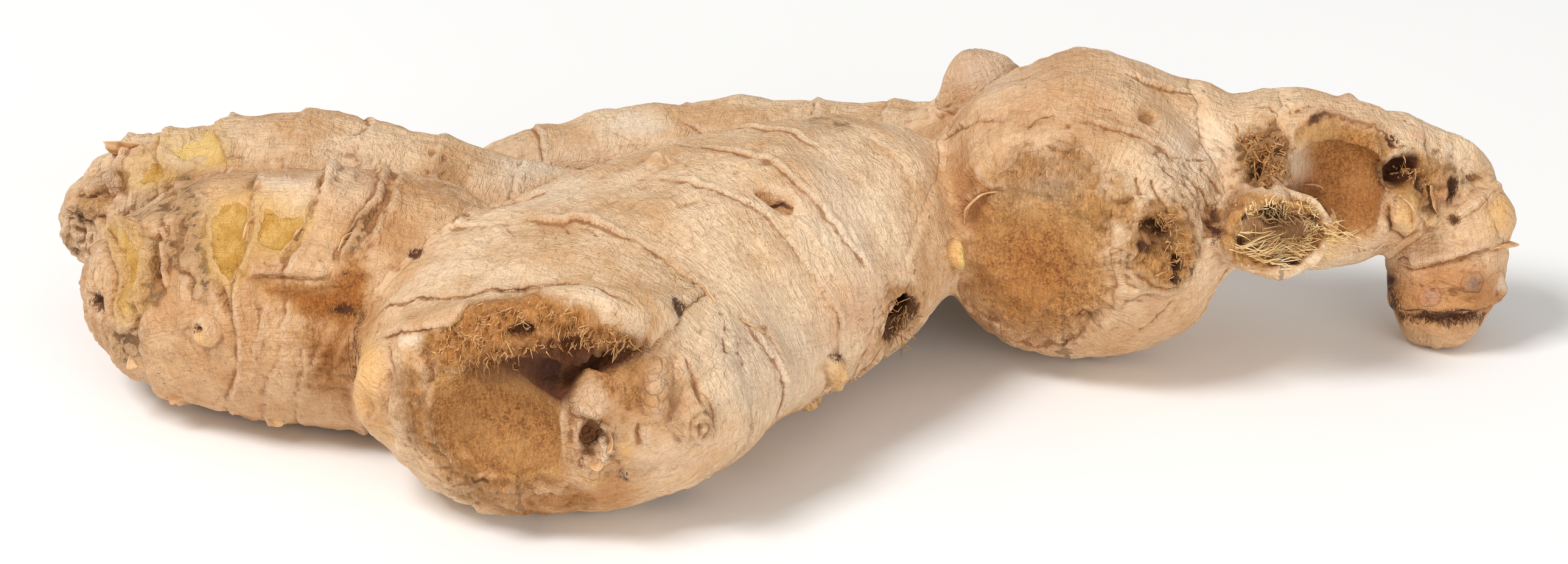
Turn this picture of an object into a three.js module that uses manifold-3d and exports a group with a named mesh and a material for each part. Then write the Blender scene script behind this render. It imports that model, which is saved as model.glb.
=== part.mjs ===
// A ginger rhizome: one hand of fresh ginger root, lying on its belly. Millimetres, +Z up.
//
// The hand grew as one piece, so it is one mesh. Each lobe is a tube of elliptical sections swept
// along a curved middle line, ringed where its scale leaves were attached. The lobes are joined,
// the scars left by broken stems and fingers are cut into them, and the lowest spots, on which the
// hand rests, are flat. The origin is under the middle of the hand, on the surface it lies on.
import * as THREE from "three";
import { mergeVertices } from "three/addons/utils/BufferGeometryUtils.js";
import Module from "manifold-3d";

const wasm = await Module();
wasm.setup();

const RING_HEIGHT = 0.5; // how far a leaf ring stands out of the skin
const RING_RISE = 1.0; // length of the ring's steep side, towards the tip
const RING_FALL = 2.0; // length of its slack side, towards the parent lobe
const SWELLING = 0.45; // how far the skin bulges halfway between two rings
const LUMP_HEIGHT = 0.4; // height of the shallow lumps all over the skin
const ROW_STEP = 5; // longest gap between two rows of points along a lobe
const POINT_STEP = 4.2; // gap between two points round the widest section
const CAP_ROWS = 4; // rows that round off a lobe's tip
const FLOOR_HEIGHT = 0.35; // what lies lower than this in the layout is ground flat
const SKIN_COLOUR = 0xd9b98c;

// The lobes. stations: [x, y, z, half width, half height] along the middle line, from the free tip
// to the end that is sunk in the parent lobe. rings: [distance from the tip along the middle line,
// how much further it lies on the side of the lobe, how much further on top].
const LOBES = {
  front: {
    stations: [
      [-28, -36.5, 12.8, 15.5, 11.3],
      [-26.8, -29, 13.2, 19.6, 12.8],
      [-23.4, -18.5, 14, 22.4, 14.4],
      [-15.5, -8, 15, 22.3, 14.8],
      [-5, 0.5, 16, 19, 14.5],
      [5, 8, 16.4, 15, 13.7],
      [11.5, 15, 16, 11.5, 12.2],
      [16, 22, 15, 8.5, 10],
    ],
    rings: [[27.6, 3, -3], [36, 6.5, -1], [45, 3, -1.5], [51, 1, -2], [57, 0, -2], [61.5, 0, 0]],
    capLength: 11,
  },
  left_near: {
    stations: [
      [-78, 7, 11.6, 7, 6],
      [-71, 5, 12, 10.5, 9.4],
      [-61, 1, 13.3, 13.5, 13],
      [-50, -2, 14.1, 14.5, 14.4],
      [-39, -4, 13.7, 13.8, 13.2],
      [-26, -4, 12.4, 12, 11],
    ],
    rings: [[9.5, 0, 2], [14, 0, 1], [19.5, 0, -1], [24.3, 0, -0.8], [29, 0.5, 1], [34, 0.5, 2]],
    capLength: 9,
  },
  left_far: {
    stations: [
      [-83, 26, 11, 6, 6],
      [-76, 25, 11.3, 8.5, 8.5],
      [-65, 23, 12.3, 11.2, 11.2],
      [-53, 21, 12.7, 12.3, 12.4],
      [-43, 20, 12, 11.5, 11.8],
      [-33, 19, 10.4, 10.5, 10.2],
      [-20, 17, 9.3, 10, 9.3],
      [-4, 13, 12, 10, 10],
    ],
    rings: [[8, 0, 1], [14, 1.5, 0], [21.5, 1.5, 0], [29.5, 0, 0], [35.7, 1, 0], [42.8, 0, 0], [52, 0, 1]],
    capLength: 9,
  },
  back: {
    stations: [
      [-39, 38, 8.6, 4.5, 4],
      [-32, 38, 9, 6.8, 6.4],
      [-23, 38, 9.8, 8.6, 8.4],
      [-9, 37, 10.8, 9.6, 9.4],
      [6, 35, 11.3, 9.6, 9.4],
      [20, 30, 12.5, 10, 10],
      [32, 22, 14, 11, 11],
    ],
    rings: [[11, 1, 0], [18.5, 2.5, -1.5], [26.5, 3, -1.5], [35, 2, -1], [43, 2, 0], [52, 1, 0]],
    capLength: 7,
  },
  saddle: {
    stations: [
      [-15, 24, 12.5, 6, 6],
      [-7, 22.5, 14.6, 7, 7],
      [2, 18, 15, 8, 8],
      [9, 13, 15, 8, 8],
    ],
    rings: [],
    capLength: 6,
  },
  web: {
    stations: [
      [-38, 7.5, 10.5, 6, 7],
      [-28, 7.5, 11.5, 8, 9.5],
      [-16, 8, 12, 8, 9],
    ],
    rings: [],
    capLength: 6,
  },
  middle: {
    stations: [
      [30, -2, 16.3, 16.5, 14.7],
      [31.5, 5, 16.9, 16.8, 15.5],
      [33, 15, 17.2, 17.3, 17.1],
      [33, 25, 17, 15, 15],
      [31, 33, 16, 12, 12],
    ],
    rings: [[13.5, -1, 0], [20, 0, 0], [26, 0, 0]],
    capLength: 12,
  },
  middle_shoulder: {
    stations: [
      [53, 17, 22, 8, 8],
      [44, 18, 22.2, 9, 9.2],
      [34, 19, 21, 11, 11],
      [26, 20, 19, 10, 10],
    ],
    rings: [],
    capLength: 7,
  },
  knob: {
    stations: [
      [21, 34, 29, 4.3, 4.3],
      [23, 32, 24, 6, 6],
      [26, 28, 17, 8, 8],
      [28, 24, 12, 8, 8],
    ],
    rings: [[6.5, 0, 0]],
    capLength: 4.5,
  },
  right: {
    stations: [
      [80, 19.4, 19.2, 2.8, 2.8],
      [74.5, 19.4, 19.4, 5.2, 5.2],
      [66, 18, 19.6, 7.8, 8.4],
      [59, 17, 19.7, 9.3, 9.6],
      [51, 17, 19.6, 9.8, 9.7],
      [40, 17, 19, 10, 10],
    ],
    rings: [[9.5, 0, 0], [15, 0, 0], [26.5, 0, 0]],
    capLength: 4,
  },
  right_hanging: {
    stations: [
      [73.5, 15.3, -0.8, 3.6, 3.8],
      [74.2, 16.2, 4, 5.5, 5.8],
      [75.2, 17.3, 10, 6.9, 6.9],
      [74.5, 18.5, 16, 6.2, 6.2],
      [71, 19, 21, 4.5, 4.5],
    ],
    rings: [[6.2, -1, 0], [9.6, -1, -1], [12.8, -1, -1]],
    capLength: 4,
  },
  right_bud: {
    stations: [
      [82, 16.5, 14.6, 2.6, 2.8],
      [78, 17.2, 15.5, 3.6, 3.6],
      [73, 18.5, 17, 4, 4],
    ],
    rings: [],
    capLength: 2.6,
  },
  stem_stub: {
    stations: [
      [54.5, 0.4, 19.8, 6.8, 5.1],
      [53.6, 4.5, 19.2, 6, 4.8],
      [51.5, 10, 18.4, 6, 5.2],
      [47, 16, 18, 5.5, 5.5],
    ],
    rings: [],
    capLength: 0.8,
  },
  torn_lip: {
    stations: [
      [-40, -26, 20.8, 1.4, 1.6],
      [-35, -28.2, 23, 2.2, 2.6],
      [-28, -30.4, 24.2, 2.6, 3],
      [-20, -30.8, 24.3, 2.7, 3],
      [-13.5, -28.2, 24, 2.4, 2.6],
      [-8, -23.5, 24.3, 1.4, 1.6],
    ],
    rings: [],
    capLength: 2.5,
  },
};

// Where stems and fingers broke off: a hollow in the skin, round a point [x, y, z] on it and
// facing outwards, with its half width, its half height and its depth.
const HOLLOWS = [
  { at: [-29.4, -35.6, 15], facing: [-0.2, -0.96, 0.2], size: [8.2, 7.2], depth: 3.6 },
  { at: [-22.4, -34, 20.8], facing: [0, -0.85, 0.5], size: [6, 2.3], depth: 3.4 },
  { at: [-19.4, -35.6, 14.3], facing: [0.06, -1, 0], size: [1.4, 2.6], depth: 1.8 },
  { at: [12.2, -5.6, 13], facing: [0.77, -0.58, -0.28], size: [1.8, 2.8], depth: 1.4 },
  { at: [26.6, -2, 18.4], facing: [-0.3, -0.95, 0.06], size: [9, 10], depth: 2.8 },
  { at: [41.4, -1.6, 19.3], facing: [0.3, -0.95, 0.11], size: [3.4, 3.8], depth: 1.7 },
  { at: [54.6, 0.1, 19.9], facing: [0.22, -0.97, 0.1], size: [5.3, 3.8], depth: 4 },
  { at: [61.3, 8.4, 21.8], facing: [0.2, -0.96, 0.2], size: [6.4, 7.4], depth: 3 },
  { at: [68.6, 11.5, 23], facing: [0.44, -0.8, 0.42], size: [2, 2], depth: 1.3 },
  { at: [-79.6, 19.5, 12.5], facing: [-0.68, -0.72, 0.15], size: [3.2, 3.8], depth: 1.6 },
  { at: [-12, 46.2, 12], facing: [0, 1, 0.12], size: [5, 4.4], depth: 1.6 },
  { at: [39, 38.5, 18], facing: [0.35, 0.93, 0.1], size: [6, 6], depth: 1.8 },
];

// Sleeping buds: a low dome on the skin, stated as the hollows are, with its height for a depth.
const BUDS = [
  { at: [-42.9, -27.8, 15.2], facing: [-0.73, -0.65, 0.15], size: [2, 4.4], height: 0.9 },
  { at: [-9.3, -33.3, 14.9], facing: [0.2, -0.98, 0.03], size: [2, 2.8], height: 0.9 },
  { at: [-14.8, -33.6, 17.2], facing: [0.15, -0.95, 0.25], size: [4.6, 5], height: 1.1 },
  { at: [-62.3, -12.9, 15.2], facing: [-0.4, -0.91, 0.09], size: [1.6, 1.6], height: 0.8 },
  { at: [19.2, 2.5, 17.3], facing: [-0.7, -0.7, 0.1], size: [1.1, 2], height: 1 },
  { at: [68.6, 10.8, 18.2], facing: [0.43, -0.87, -0.2], size: [2.2, 2.2], height: 1.2 },
  { at: [-58, 33, 13], facing: [-0.1, 0.98, 0.1], size: [2, 2.4], height: 1 },
  { at: [8, 43, 14], facing: [0.1, 0.95, 0.3], size: [1.8, 2.2], height: 1 },
];

// The value at t, from 0 to 1, of a smooth curve through evenly spaced values.
function blendOf(values, t) {
  const spots = values.map((value) => new THREE.Vector3(value, 0, 0));
  return new THREE.CatmullRomCurve3(spots, false, "catmullrom", 0.5).getPoint(t).x;
}

// How wide a lobe is at this distance from its end, as a share of its full width.
function roundCap(distance, capLength) {
  if (distance >= capLength) return 1;
  const left = 1 - distance / capLength;
  return Math.sqrt(Math.max(0, 1 - left * left));
}

// The rows of points along a lobe, in order: where each lies and how high it lifts the skin. Three
// rows make a ring. Between the rings, rows fill the gaps and carry the swelling.
function rowsOf({ rings, capLength }, length) {
  const marks = [{ at: 0, side: 0, up: 0, lift: 0 }];
  for (let i = 1; i <= CAP_ROWS; i += 1) {
    const at = capLength * (1 - Math.cos((0.5 * Math.PI * i) / CAP_ROWS));
    if (rings.length === 0 || at < rings[0][0] - 2 * RING_RISE) {
      marks.push({ at, side: 0, up: 0, lift: 0 });
    }
  }
  for (const [at, side, up] of rings) {
    marks.push({ at: at - RING_RISE, side, up, lift: 0 });
    marks.push({ at, side, up, lift: RING_HEIGHT });
    marks.push({ at: at + RING_FALL, side, up, lift: 0 });
  }
  marks.push({ at: length - 0.6 * capLength, side: 0, up: 0, lift: 0 });
  marks.push({ at: length - 0.15 * capLength, side: 0, up: 0, lift: 0 });
  marks.push({ at: length, side: 0, up: 0, lift: 0 });
  const rows = [marks[0]];
  for (let i = 1; i < marks.length; i += 1) {
    const [from, to] = [marks[i - 1], marks[i]];
    const pieces = Math.max(1, Math.round((to.at - from.at) / ROW_STEP));
    const swelling = to.at - from.at > 2 * RING_FALL ? SWELLING : 0;
    for (let k = 1; k < pieces; k += 1) {
      const share = k / pieces;
      rows.push({
        at: THREE.MathUtils.lerp(from.at, to.at, share),
        side: THREE.MathUtils.lerp(from.side, to.side, share),
        up: THREE.MathUtils.lerp(from.up, to.up, share),
        lift: swelling * Math.sin(Math.PI * share),
      });
    }
    rows.push(to);
  }
  return rows;
}

// Shallow lumps: the same everywhere for the same place, so that neighbouring lobes agree.
function lumpAt({ x, y, z }) {
  const coarse = Math.sin(x / 6.9 + 1.3) * Math.sin(y / 6.1 + z / 9.7);
  const fine = Math.sin(x / 3.7 - y / 4.9) * Math.sin(z / 3.9 + y / 5.3 + 0.8);
  return LUMP_HEIGHT * (coarse + 0.6 * fine);
}

function lobeGeometry(lobe) {
  const { stations, capLength } = lobe;
  const spots = stations.map(([x, y, z]) => new THREE.Vector3(x, y, z));
  const line = new THREE.CatmullRomCurve3(spots, false, "catmullrom", 0.5);
  const length = line.getLength();
  const rows = rowsOf(lobe, length);
  const widest = Math.max(...stations.map((station) => station[3]));
  const around = Math.max(10, 2 * Math.round((Math.PI * widest) / POINT_STEP));
  const widths = stations.map((station) => station[3]);
  const heights = stations.map((station) => station[4]);
  const steep = Math.abs(line.getTangent(0).z) > 0.7;
  const up = steep ? new THREE.Vector3(0, 1, 0) : new THREE.Vector3(0, 0, 1);

  // a lathed tube with the right rows and points, which is then laid over the lobe
  const profile = rows.map((row, i) => {
    const closed = i === 0 || i === rows.length - 1;
    return new THREE.Vector2(closed ? 0 : 1, i);
  });
  const geometry = new THREE.LatheGeometry(profile, around);
  const place = geometry.attributes.position;
  for (let k = 0; k < place.count; k += 1) {
    const row = rows[Math.round(place.getY(k))];
    const open = Math.round(Math.hypot(place.getX(k), place.getZ(k)));
    const angle = Math.atan2(place.getZ(k), place.getX(k));
    const lean = open * (row.side * Math.cos(angle) + row.up * Math.sin(angle));
    const distance = THREE.MathUtils.clamp(row.at + lean, 0, length);
    const t = line.getUtoTmapping(distance / length);
    const centre = line.getPoint(t);
    const tangent = line.getTangent(t);
    const side = new THREE.Vector3().crossVectors(tangent, up).normalize();
    const rise = new THREE.Vector3().crossVectors(side, tangent).normalize();
    const cap = Math.min(roundCap(distance, capLength), roundCap(length - distance, capLength));
    const outward = new THREE.Vector3()
      .addScaledVector(side, open * cap * blendOf(widths, t) * Math.cos(angle))
      .addScaledVector(rise, open * cap * blendOf(heights, t) * Math.sin(angle));
    const skin = centre.clone().add(outward);
    if (open) skin.addScaledVector(outward.normalize(), row.lift + cap * lumpAt(skin));
    place.setXYZ(k, skin.x, skin.y, skin.z);
  }
  return geometry;
}

// An ellipsoid round a point of the skin. sunk is how deep its far side lies below the skin and
// proud how far its near side stands above it.
function ellipsoidGeometry({ at, facing, size }, sunk, proud) {
  const points = size[0] > 3 ? 18 : 10;
  const geometry = new THREE.SphereGeometry(1, points, points / 2 + 2);
  const half = (sunk + proud) / 2;
  const middle = (proud - sunk) / 2;
  const spread = 1 / Math.sqrt(1 - (middle / half) ** 2);
  geometry.scale(size[0] * spread, size[1] * spread, half);
  geometry.translate(0, 0, middle);
  const outward = new THREE.Vector3(...facing).normalize();
  const turn = new THREE.Matrix4().lookAt(outward, new THREE.Vector3(), new THREE.Vector3(0, 0, 1));
  geometry.applyMatrix4(turn);
  geometry.translate(...at);
  return geometry;
}

function solidOf(geometry) {
  const bare = new THREE.BufferGeometry();
  bare.setAttribute("position", geometry.attributes.position.clone());
  bare.setIndex(geometry.index);
  const merged = mergeVertices(bare, 1e-4);
  const vertProperties = new Float32Array(merged.attributes.position.array);
  const corners = [];
  const flipped = [];
  for (let i = 0; i < merged.index.count; i += 3) {
    const [a, b, c] = [merged.index.getX(i), merged.index.getX(i + 1), merged.index.getX(i + 2)];
    if (a !== b && b !== c && a !== c) {
      corners.push(a, b, c);
      flipped.push(a, c, b);
    }
  }
  const closed = (order) => new wasm.Manifold(
    new wasm.Mesh({ numProp: 3, vertProperties, triVerts: new Uint32Array(order) }));
  const solid = closed(corners);
  return solid.volume() > 0 ? solid : closed(flipped);
}

function geometryOf(solid) {
  const mesh = solid.getMesh();
  const geometry = new THREE.BufferGeometry();
  geometry.setAttribute("position", new THREE.BufferAttribute(mesh.vertProperties, 3));
  geometry.setIndex(new THREE.BufferAttribute(mesh.triVerts, 1));
  geometry.computeVertexNormals();
  return geometry;
}

function rhizomeSolid() {
  let body = null;
  for (const lobe of Object.values(LOBES)) {
    const solid = solidOf(lobeGeometry(lobe));
    body = body ? body.add(solid) : solid;
  }
  for (const bud of BUDS) {
    body = body.add(solidOf(ellipsoidGeometry(bud, 2 * bud.height, bud.height)));
  }
  for (const hollow of HOLLOWS) {
    body = body.subtract(solidOf(ellipsoidGeometry(hollow, hollow.depth, 1.5 * hollow.depth)));
  }
  const floor = new THREE.BoxGeometry(300, 300, 20);
  floor.translate(0, 0, FLOOR_HEIGHT - 10);
  return body.subtract(solidOf(floor));
}

const skin = new THREE.MeshStandardMaterial({
  color: SKIN_COLOUR,
  roughness: 0.75,
  metalness: 0,
});
const rhizome = new THREE.Mesh(geometryOf(rhizomeSolid()), skin);
rhizome.name = "rhizome";
const box = new THREE.Box3().setFromObject(rhizome);
const middle = box.getCenter(new THREE.Vector3());
rhizome.position.set(-middle.x, -middle.y, -box.min.z);

const root = new THREE.Group();
root.add(rhizome);
export default root;
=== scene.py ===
import itertools
import logging
import math
from collections.abc import Sequence
from dataclasses import dataclass
from enum import Enum
from functools import reduce

import bmesh
import bpy
import numpy as np
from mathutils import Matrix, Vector
from mathutils.bvhtree import BVHTree


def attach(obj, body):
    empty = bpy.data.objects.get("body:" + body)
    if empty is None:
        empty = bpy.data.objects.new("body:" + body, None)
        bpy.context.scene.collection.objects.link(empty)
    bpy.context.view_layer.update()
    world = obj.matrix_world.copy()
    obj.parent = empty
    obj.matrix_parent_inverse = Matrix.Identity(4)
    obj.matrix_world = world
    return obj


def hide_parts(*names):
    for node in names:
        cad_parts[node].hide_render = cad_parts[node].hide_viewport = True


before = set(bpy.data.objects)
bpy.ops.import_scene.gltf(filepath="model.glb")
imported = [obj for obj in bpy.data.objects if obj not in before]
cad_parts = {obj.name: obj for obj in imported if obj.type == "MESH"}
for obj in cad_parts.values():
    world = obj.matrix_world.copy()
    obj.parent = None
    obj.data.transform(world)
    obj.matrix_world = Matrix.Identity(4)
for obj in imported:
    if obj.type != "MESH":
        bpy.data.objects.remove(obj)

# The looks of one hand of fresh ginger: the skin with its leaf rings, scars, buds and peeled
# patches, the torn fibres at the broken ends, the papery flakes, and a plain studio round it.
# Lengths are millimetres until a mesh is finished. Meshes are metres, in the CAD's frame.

log = logging.getLogger("ginger")

MM = 0.001
NODE = "rhizome"
LAYOUT_TO_FRAME = np.array([0.4266, -5.2067, -0.35])  # the lobes' layout to the frame, mm
SKIN_TRIANGLES = 196000
COARSE_VOXEL = 0.72  # mm; one subdivision halves it
OVAL_CORNERS = 16
NO_RING = 6.0  # mm, how far the nearest ring counts as being where there is none
NO_CRACK = 3.0  # mm, the same for cracks
NOT_PEELED = -3.0  # mm, how deep in a peeled area a point is where there is none

Pixel = tuple[float, float]
Run = tuple[float, ...]  # pixels one after another, x and y in turn
Colour = tuple[float, ...]
Array = np.ndarray
Socket = bpy.types.NodeSocket


def smooth_step(low: float, high: float, value: Array) -> Array:
    """Smooth ramp from 0 at low to 1 at high."""
    part = np.clip((value - low) / (high - low), 0.0, 1.0)
    return part * part * (3.0 - 2.0 * part)


def unit(vectors: Array) -> Array:
    """The vectors at length 1."""
    return vectors / np.maximum(np.linalg.norm(vectors, axis=-1, keepdims=True), 1e-9)


class Noise:
    """Smooth seeded noise in space, from about -1 to 1."""

    STRIDES = np.array([73856093, 19349663, 83492791], dtype=np.int64)
    TABLE = 8192

    def __init__(self, seed: int) -> None:
        """Fills the table of random values.

        Args:
            seed: Which of the endless noises this is.
        """
        self.values = np.random.default_rng(seed).random(self.TABLE) * 2.0 - 1.0

    def at(self, points: Array, size: float | Sequence[float]) -> Array:
        """The noise at some points.

        Args:
            points: The places, one row each.
            size: The width of a lump, one number or one for each axis.

        Returns:
            One value a point.
        """
        spot = points / np.asarray(size, dtype=float)
        cell = np.floor(spot).astype(np.int64)
        part = spot - cell
        part = part * part * (3.0 - 2.0 * part)
        total = np.zeros(len(points))
        for corner in itertools.product((0, 1), repeat=3):
            key = (cell + np.array(corner)) @ self.STRIDES
            key ^= key >> 15
            weight = np.prod(np.where(corner, part, 1.0 - part), axis=1)
            total += weight * self.values[(key * 2654435761 >> 7) % self.TABLE]
        return 1.4 * total

    def layers(self, points: Array, size: float | Sequence[float], count: int) -> Array:
        """Noise of several sizes added up, each half the one before.

        Args:
            points: The places, one row each.
            size: The widest lumps' width, one number or one for each axis.
            count: How many sizes.

        Returns:
            One value a point.
        """
        total = np.zeros(len(points))
        for step in range(count):
            total += self.at(points + 17.3 * step, np.asarray(size, dtype=float) / 2**step) / 2**step
        return total


@dataclass(frozen=True)
class StudioCamera:
    """The camera, and the lines of sight of its frame's pixels."""

    elevation: float = math.radians(25.0)
    distance: float = 550.0
    target: tuple[float, float, float] = (0.427, -5.207, 14.65)
    frame_width: int = 2576
    frame_height: int = 926
    pixels_per_mm: float = 15.0
    sensor: float = 36.0

    @property
    def focal(self) -> float:
        """The focal length in pixels."""
        return self.pixels_per_mm * self.distance

    @property
    def axes(self) -> tuple[Array, Array, Array]:
        """Right, up and forward."""
        lean, rise = math.cos(self.elevation), math.sin(self.elevation)
        return np.array([1.0, 0, 0]), np.array([0, rise, lean]), np.array([0, lean, -rise])

    @property
    def eye(self) -> Array:
        """The camera's place."""
        return np.array(self.target) - self.distance * self.axes[2]

    def project(self, points: Array) -> Array:
        """The pixel of each point.

        Args:
            points: Places in the frame, in mm.

        Returns:
            A row of two pixel coordinates for each point.
        """
        right, up, forward = self.axes
        away = points - self.eye
        depth = away @ forward
        across = self.frame_width / 2 + self.focal * (away @ right) / depth
        down = self.frame_height / 2 - self.focal * (away @ up) / depth
        return np.column_stack([across, down])

    def ray(self, pixel: Pixel) -> Array:
        """The direction of a pixel's line of sight.

        Args:
            pixel: The pixel.

        Returns:
            A direction of length 1.
        """
        right, up, forward = self.axes
        across = (pixel[0] - self.frame_width / 2) / self.focal
        down = (pixel[1] - self.frame_height / 2) / self.focal
        return unit(forward + across * right - down * up)

    def build(self) -> None:
        """Adds the camera to the scene and looks through it."""
        data = bpy.data.cameras.new("studio_camera")
        data.sensor_width = self.sensor
        data.lens = self.focal / self.frame_width * self.sensor
        data.clip_start = 0.01
        data.clip_end = 20.0
        camera = bpy.data.objects.new("studio_camera", data)
        camera.location = Vector(self.eye * MM)
        camera.rotation_euler = (math.pi / 2 - self.elevation, 0.0, 0.0)
        bpy.context.scene.collection.objects.link(camera)
        bpy.context.scene.camera = camera


# ---------------------------------------------------------------- the lobes and their rings


@dataclass(frozen=True)
class Ring:
    """A ring that a leaf left: its distance from the lobe's tip, and how far it leans."""

    at: float
    side: float = 0.0
    top: float = 0.0
    height: float = 0.3
    dark: float = 0.6
    trace: Run = ()


@dataclass(frozen=True)
class Lobe:
    """One finger of the hand: the same middle line as the solid's, with its leaf rings."""

    name: str
    stations: tuple[tuple[float, float, float, float, float], ...]
    rings: tuple[Ring, ...] = ()
    tip_rough: float = 0.15  # how creased the skin is at the tip
    tan: float = 0.0  # how brown its skin is; on the hanging right finger partly painted shade
    crinkle: float = 0.06  # how creased the skin is elsewhere

    def line(self, steps: int = 14) -> tuple[Array, Array]:
        """The smooth middle line through the stations.

        Args:
            steps: Points between two stations.

        Returns:
            The points in the frame, and each one's half width and half height.
        """
        rows = np.array(self.stations)
        ends = np.vstack([2 * rows[0] - rows[1], rows, 2 * rows[-1] - rows[-2]])
        made = []
        for i in range(len(rows) - 1):
            before, start, end, after = ends[i : i + 4]
            leave, arrive = (end - before) / 2, (after - start) / 2
            for t in np.arange(steps) / steps:
                made.append((2 * start - 2 * end + leave + arrive) * t**3
                            + (-3 * start + 3 * end - 2 * leave - arrive) * t**2 + leave * t + start)
        made.append(rows[-1])
        spots = np.array(made)
        return spots[:, :3] + LAYOUT_TO_FRAME, spots[:, 3:]

    def coordinates(self, points: Array) -> tuple[Array, Array, Array, Array]:
        """Where points lie on the lobe.

        Args:
            points: Places in the frame.

        Returns:
            For each point its distance from the tip, its angle round the lobe, its distance round
            the lobe from the underside in mm, and its distance from the middle line as a share of
            the lobe's own.
        """
        middle, halves = self.line()
        gaps = np.linalg.norm(np.diff(middle, axis=0), axis=1)
        run = np.concatenate([[0.0], np.cumsum(gaps)])
        along = unit(np.gradient(middle, axis=0))
        stands = abs(along[0, 2]) > 0.7
        upright = np.array([0, 1.0, 0]) if stands else np.array([0, 0, 1.0])
        side = unit(np.cross(along, upright))
        rise = np.cross(side, along)
        square = (points**2).sum(1)[:, None] - 2 * points @ middle.T + (middle**2).sum(1)[None]
        nearest = np.argmin(square, axis=1)
        away = points - middle[nearest]
        x = (away * side[nearest]).sum(1)
        y = (away * rise[nearest]).sum(1)
        z = (away * along[nearest]).sum(1)
        width, height = halves[nearest].T
        distance = run[nearest] + z
        angle = np.arctan2(y, x)
        share = np.sqrt((x / width) ** 2 + (y / height) ** 2 + (z / np.minimum(width, height)) ** 2)
        underside = np.arctan2(x, -y) if stands else np.arctan2(-x, y)
        return distance, angle, underside * (width + height) / 2, share


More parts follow.
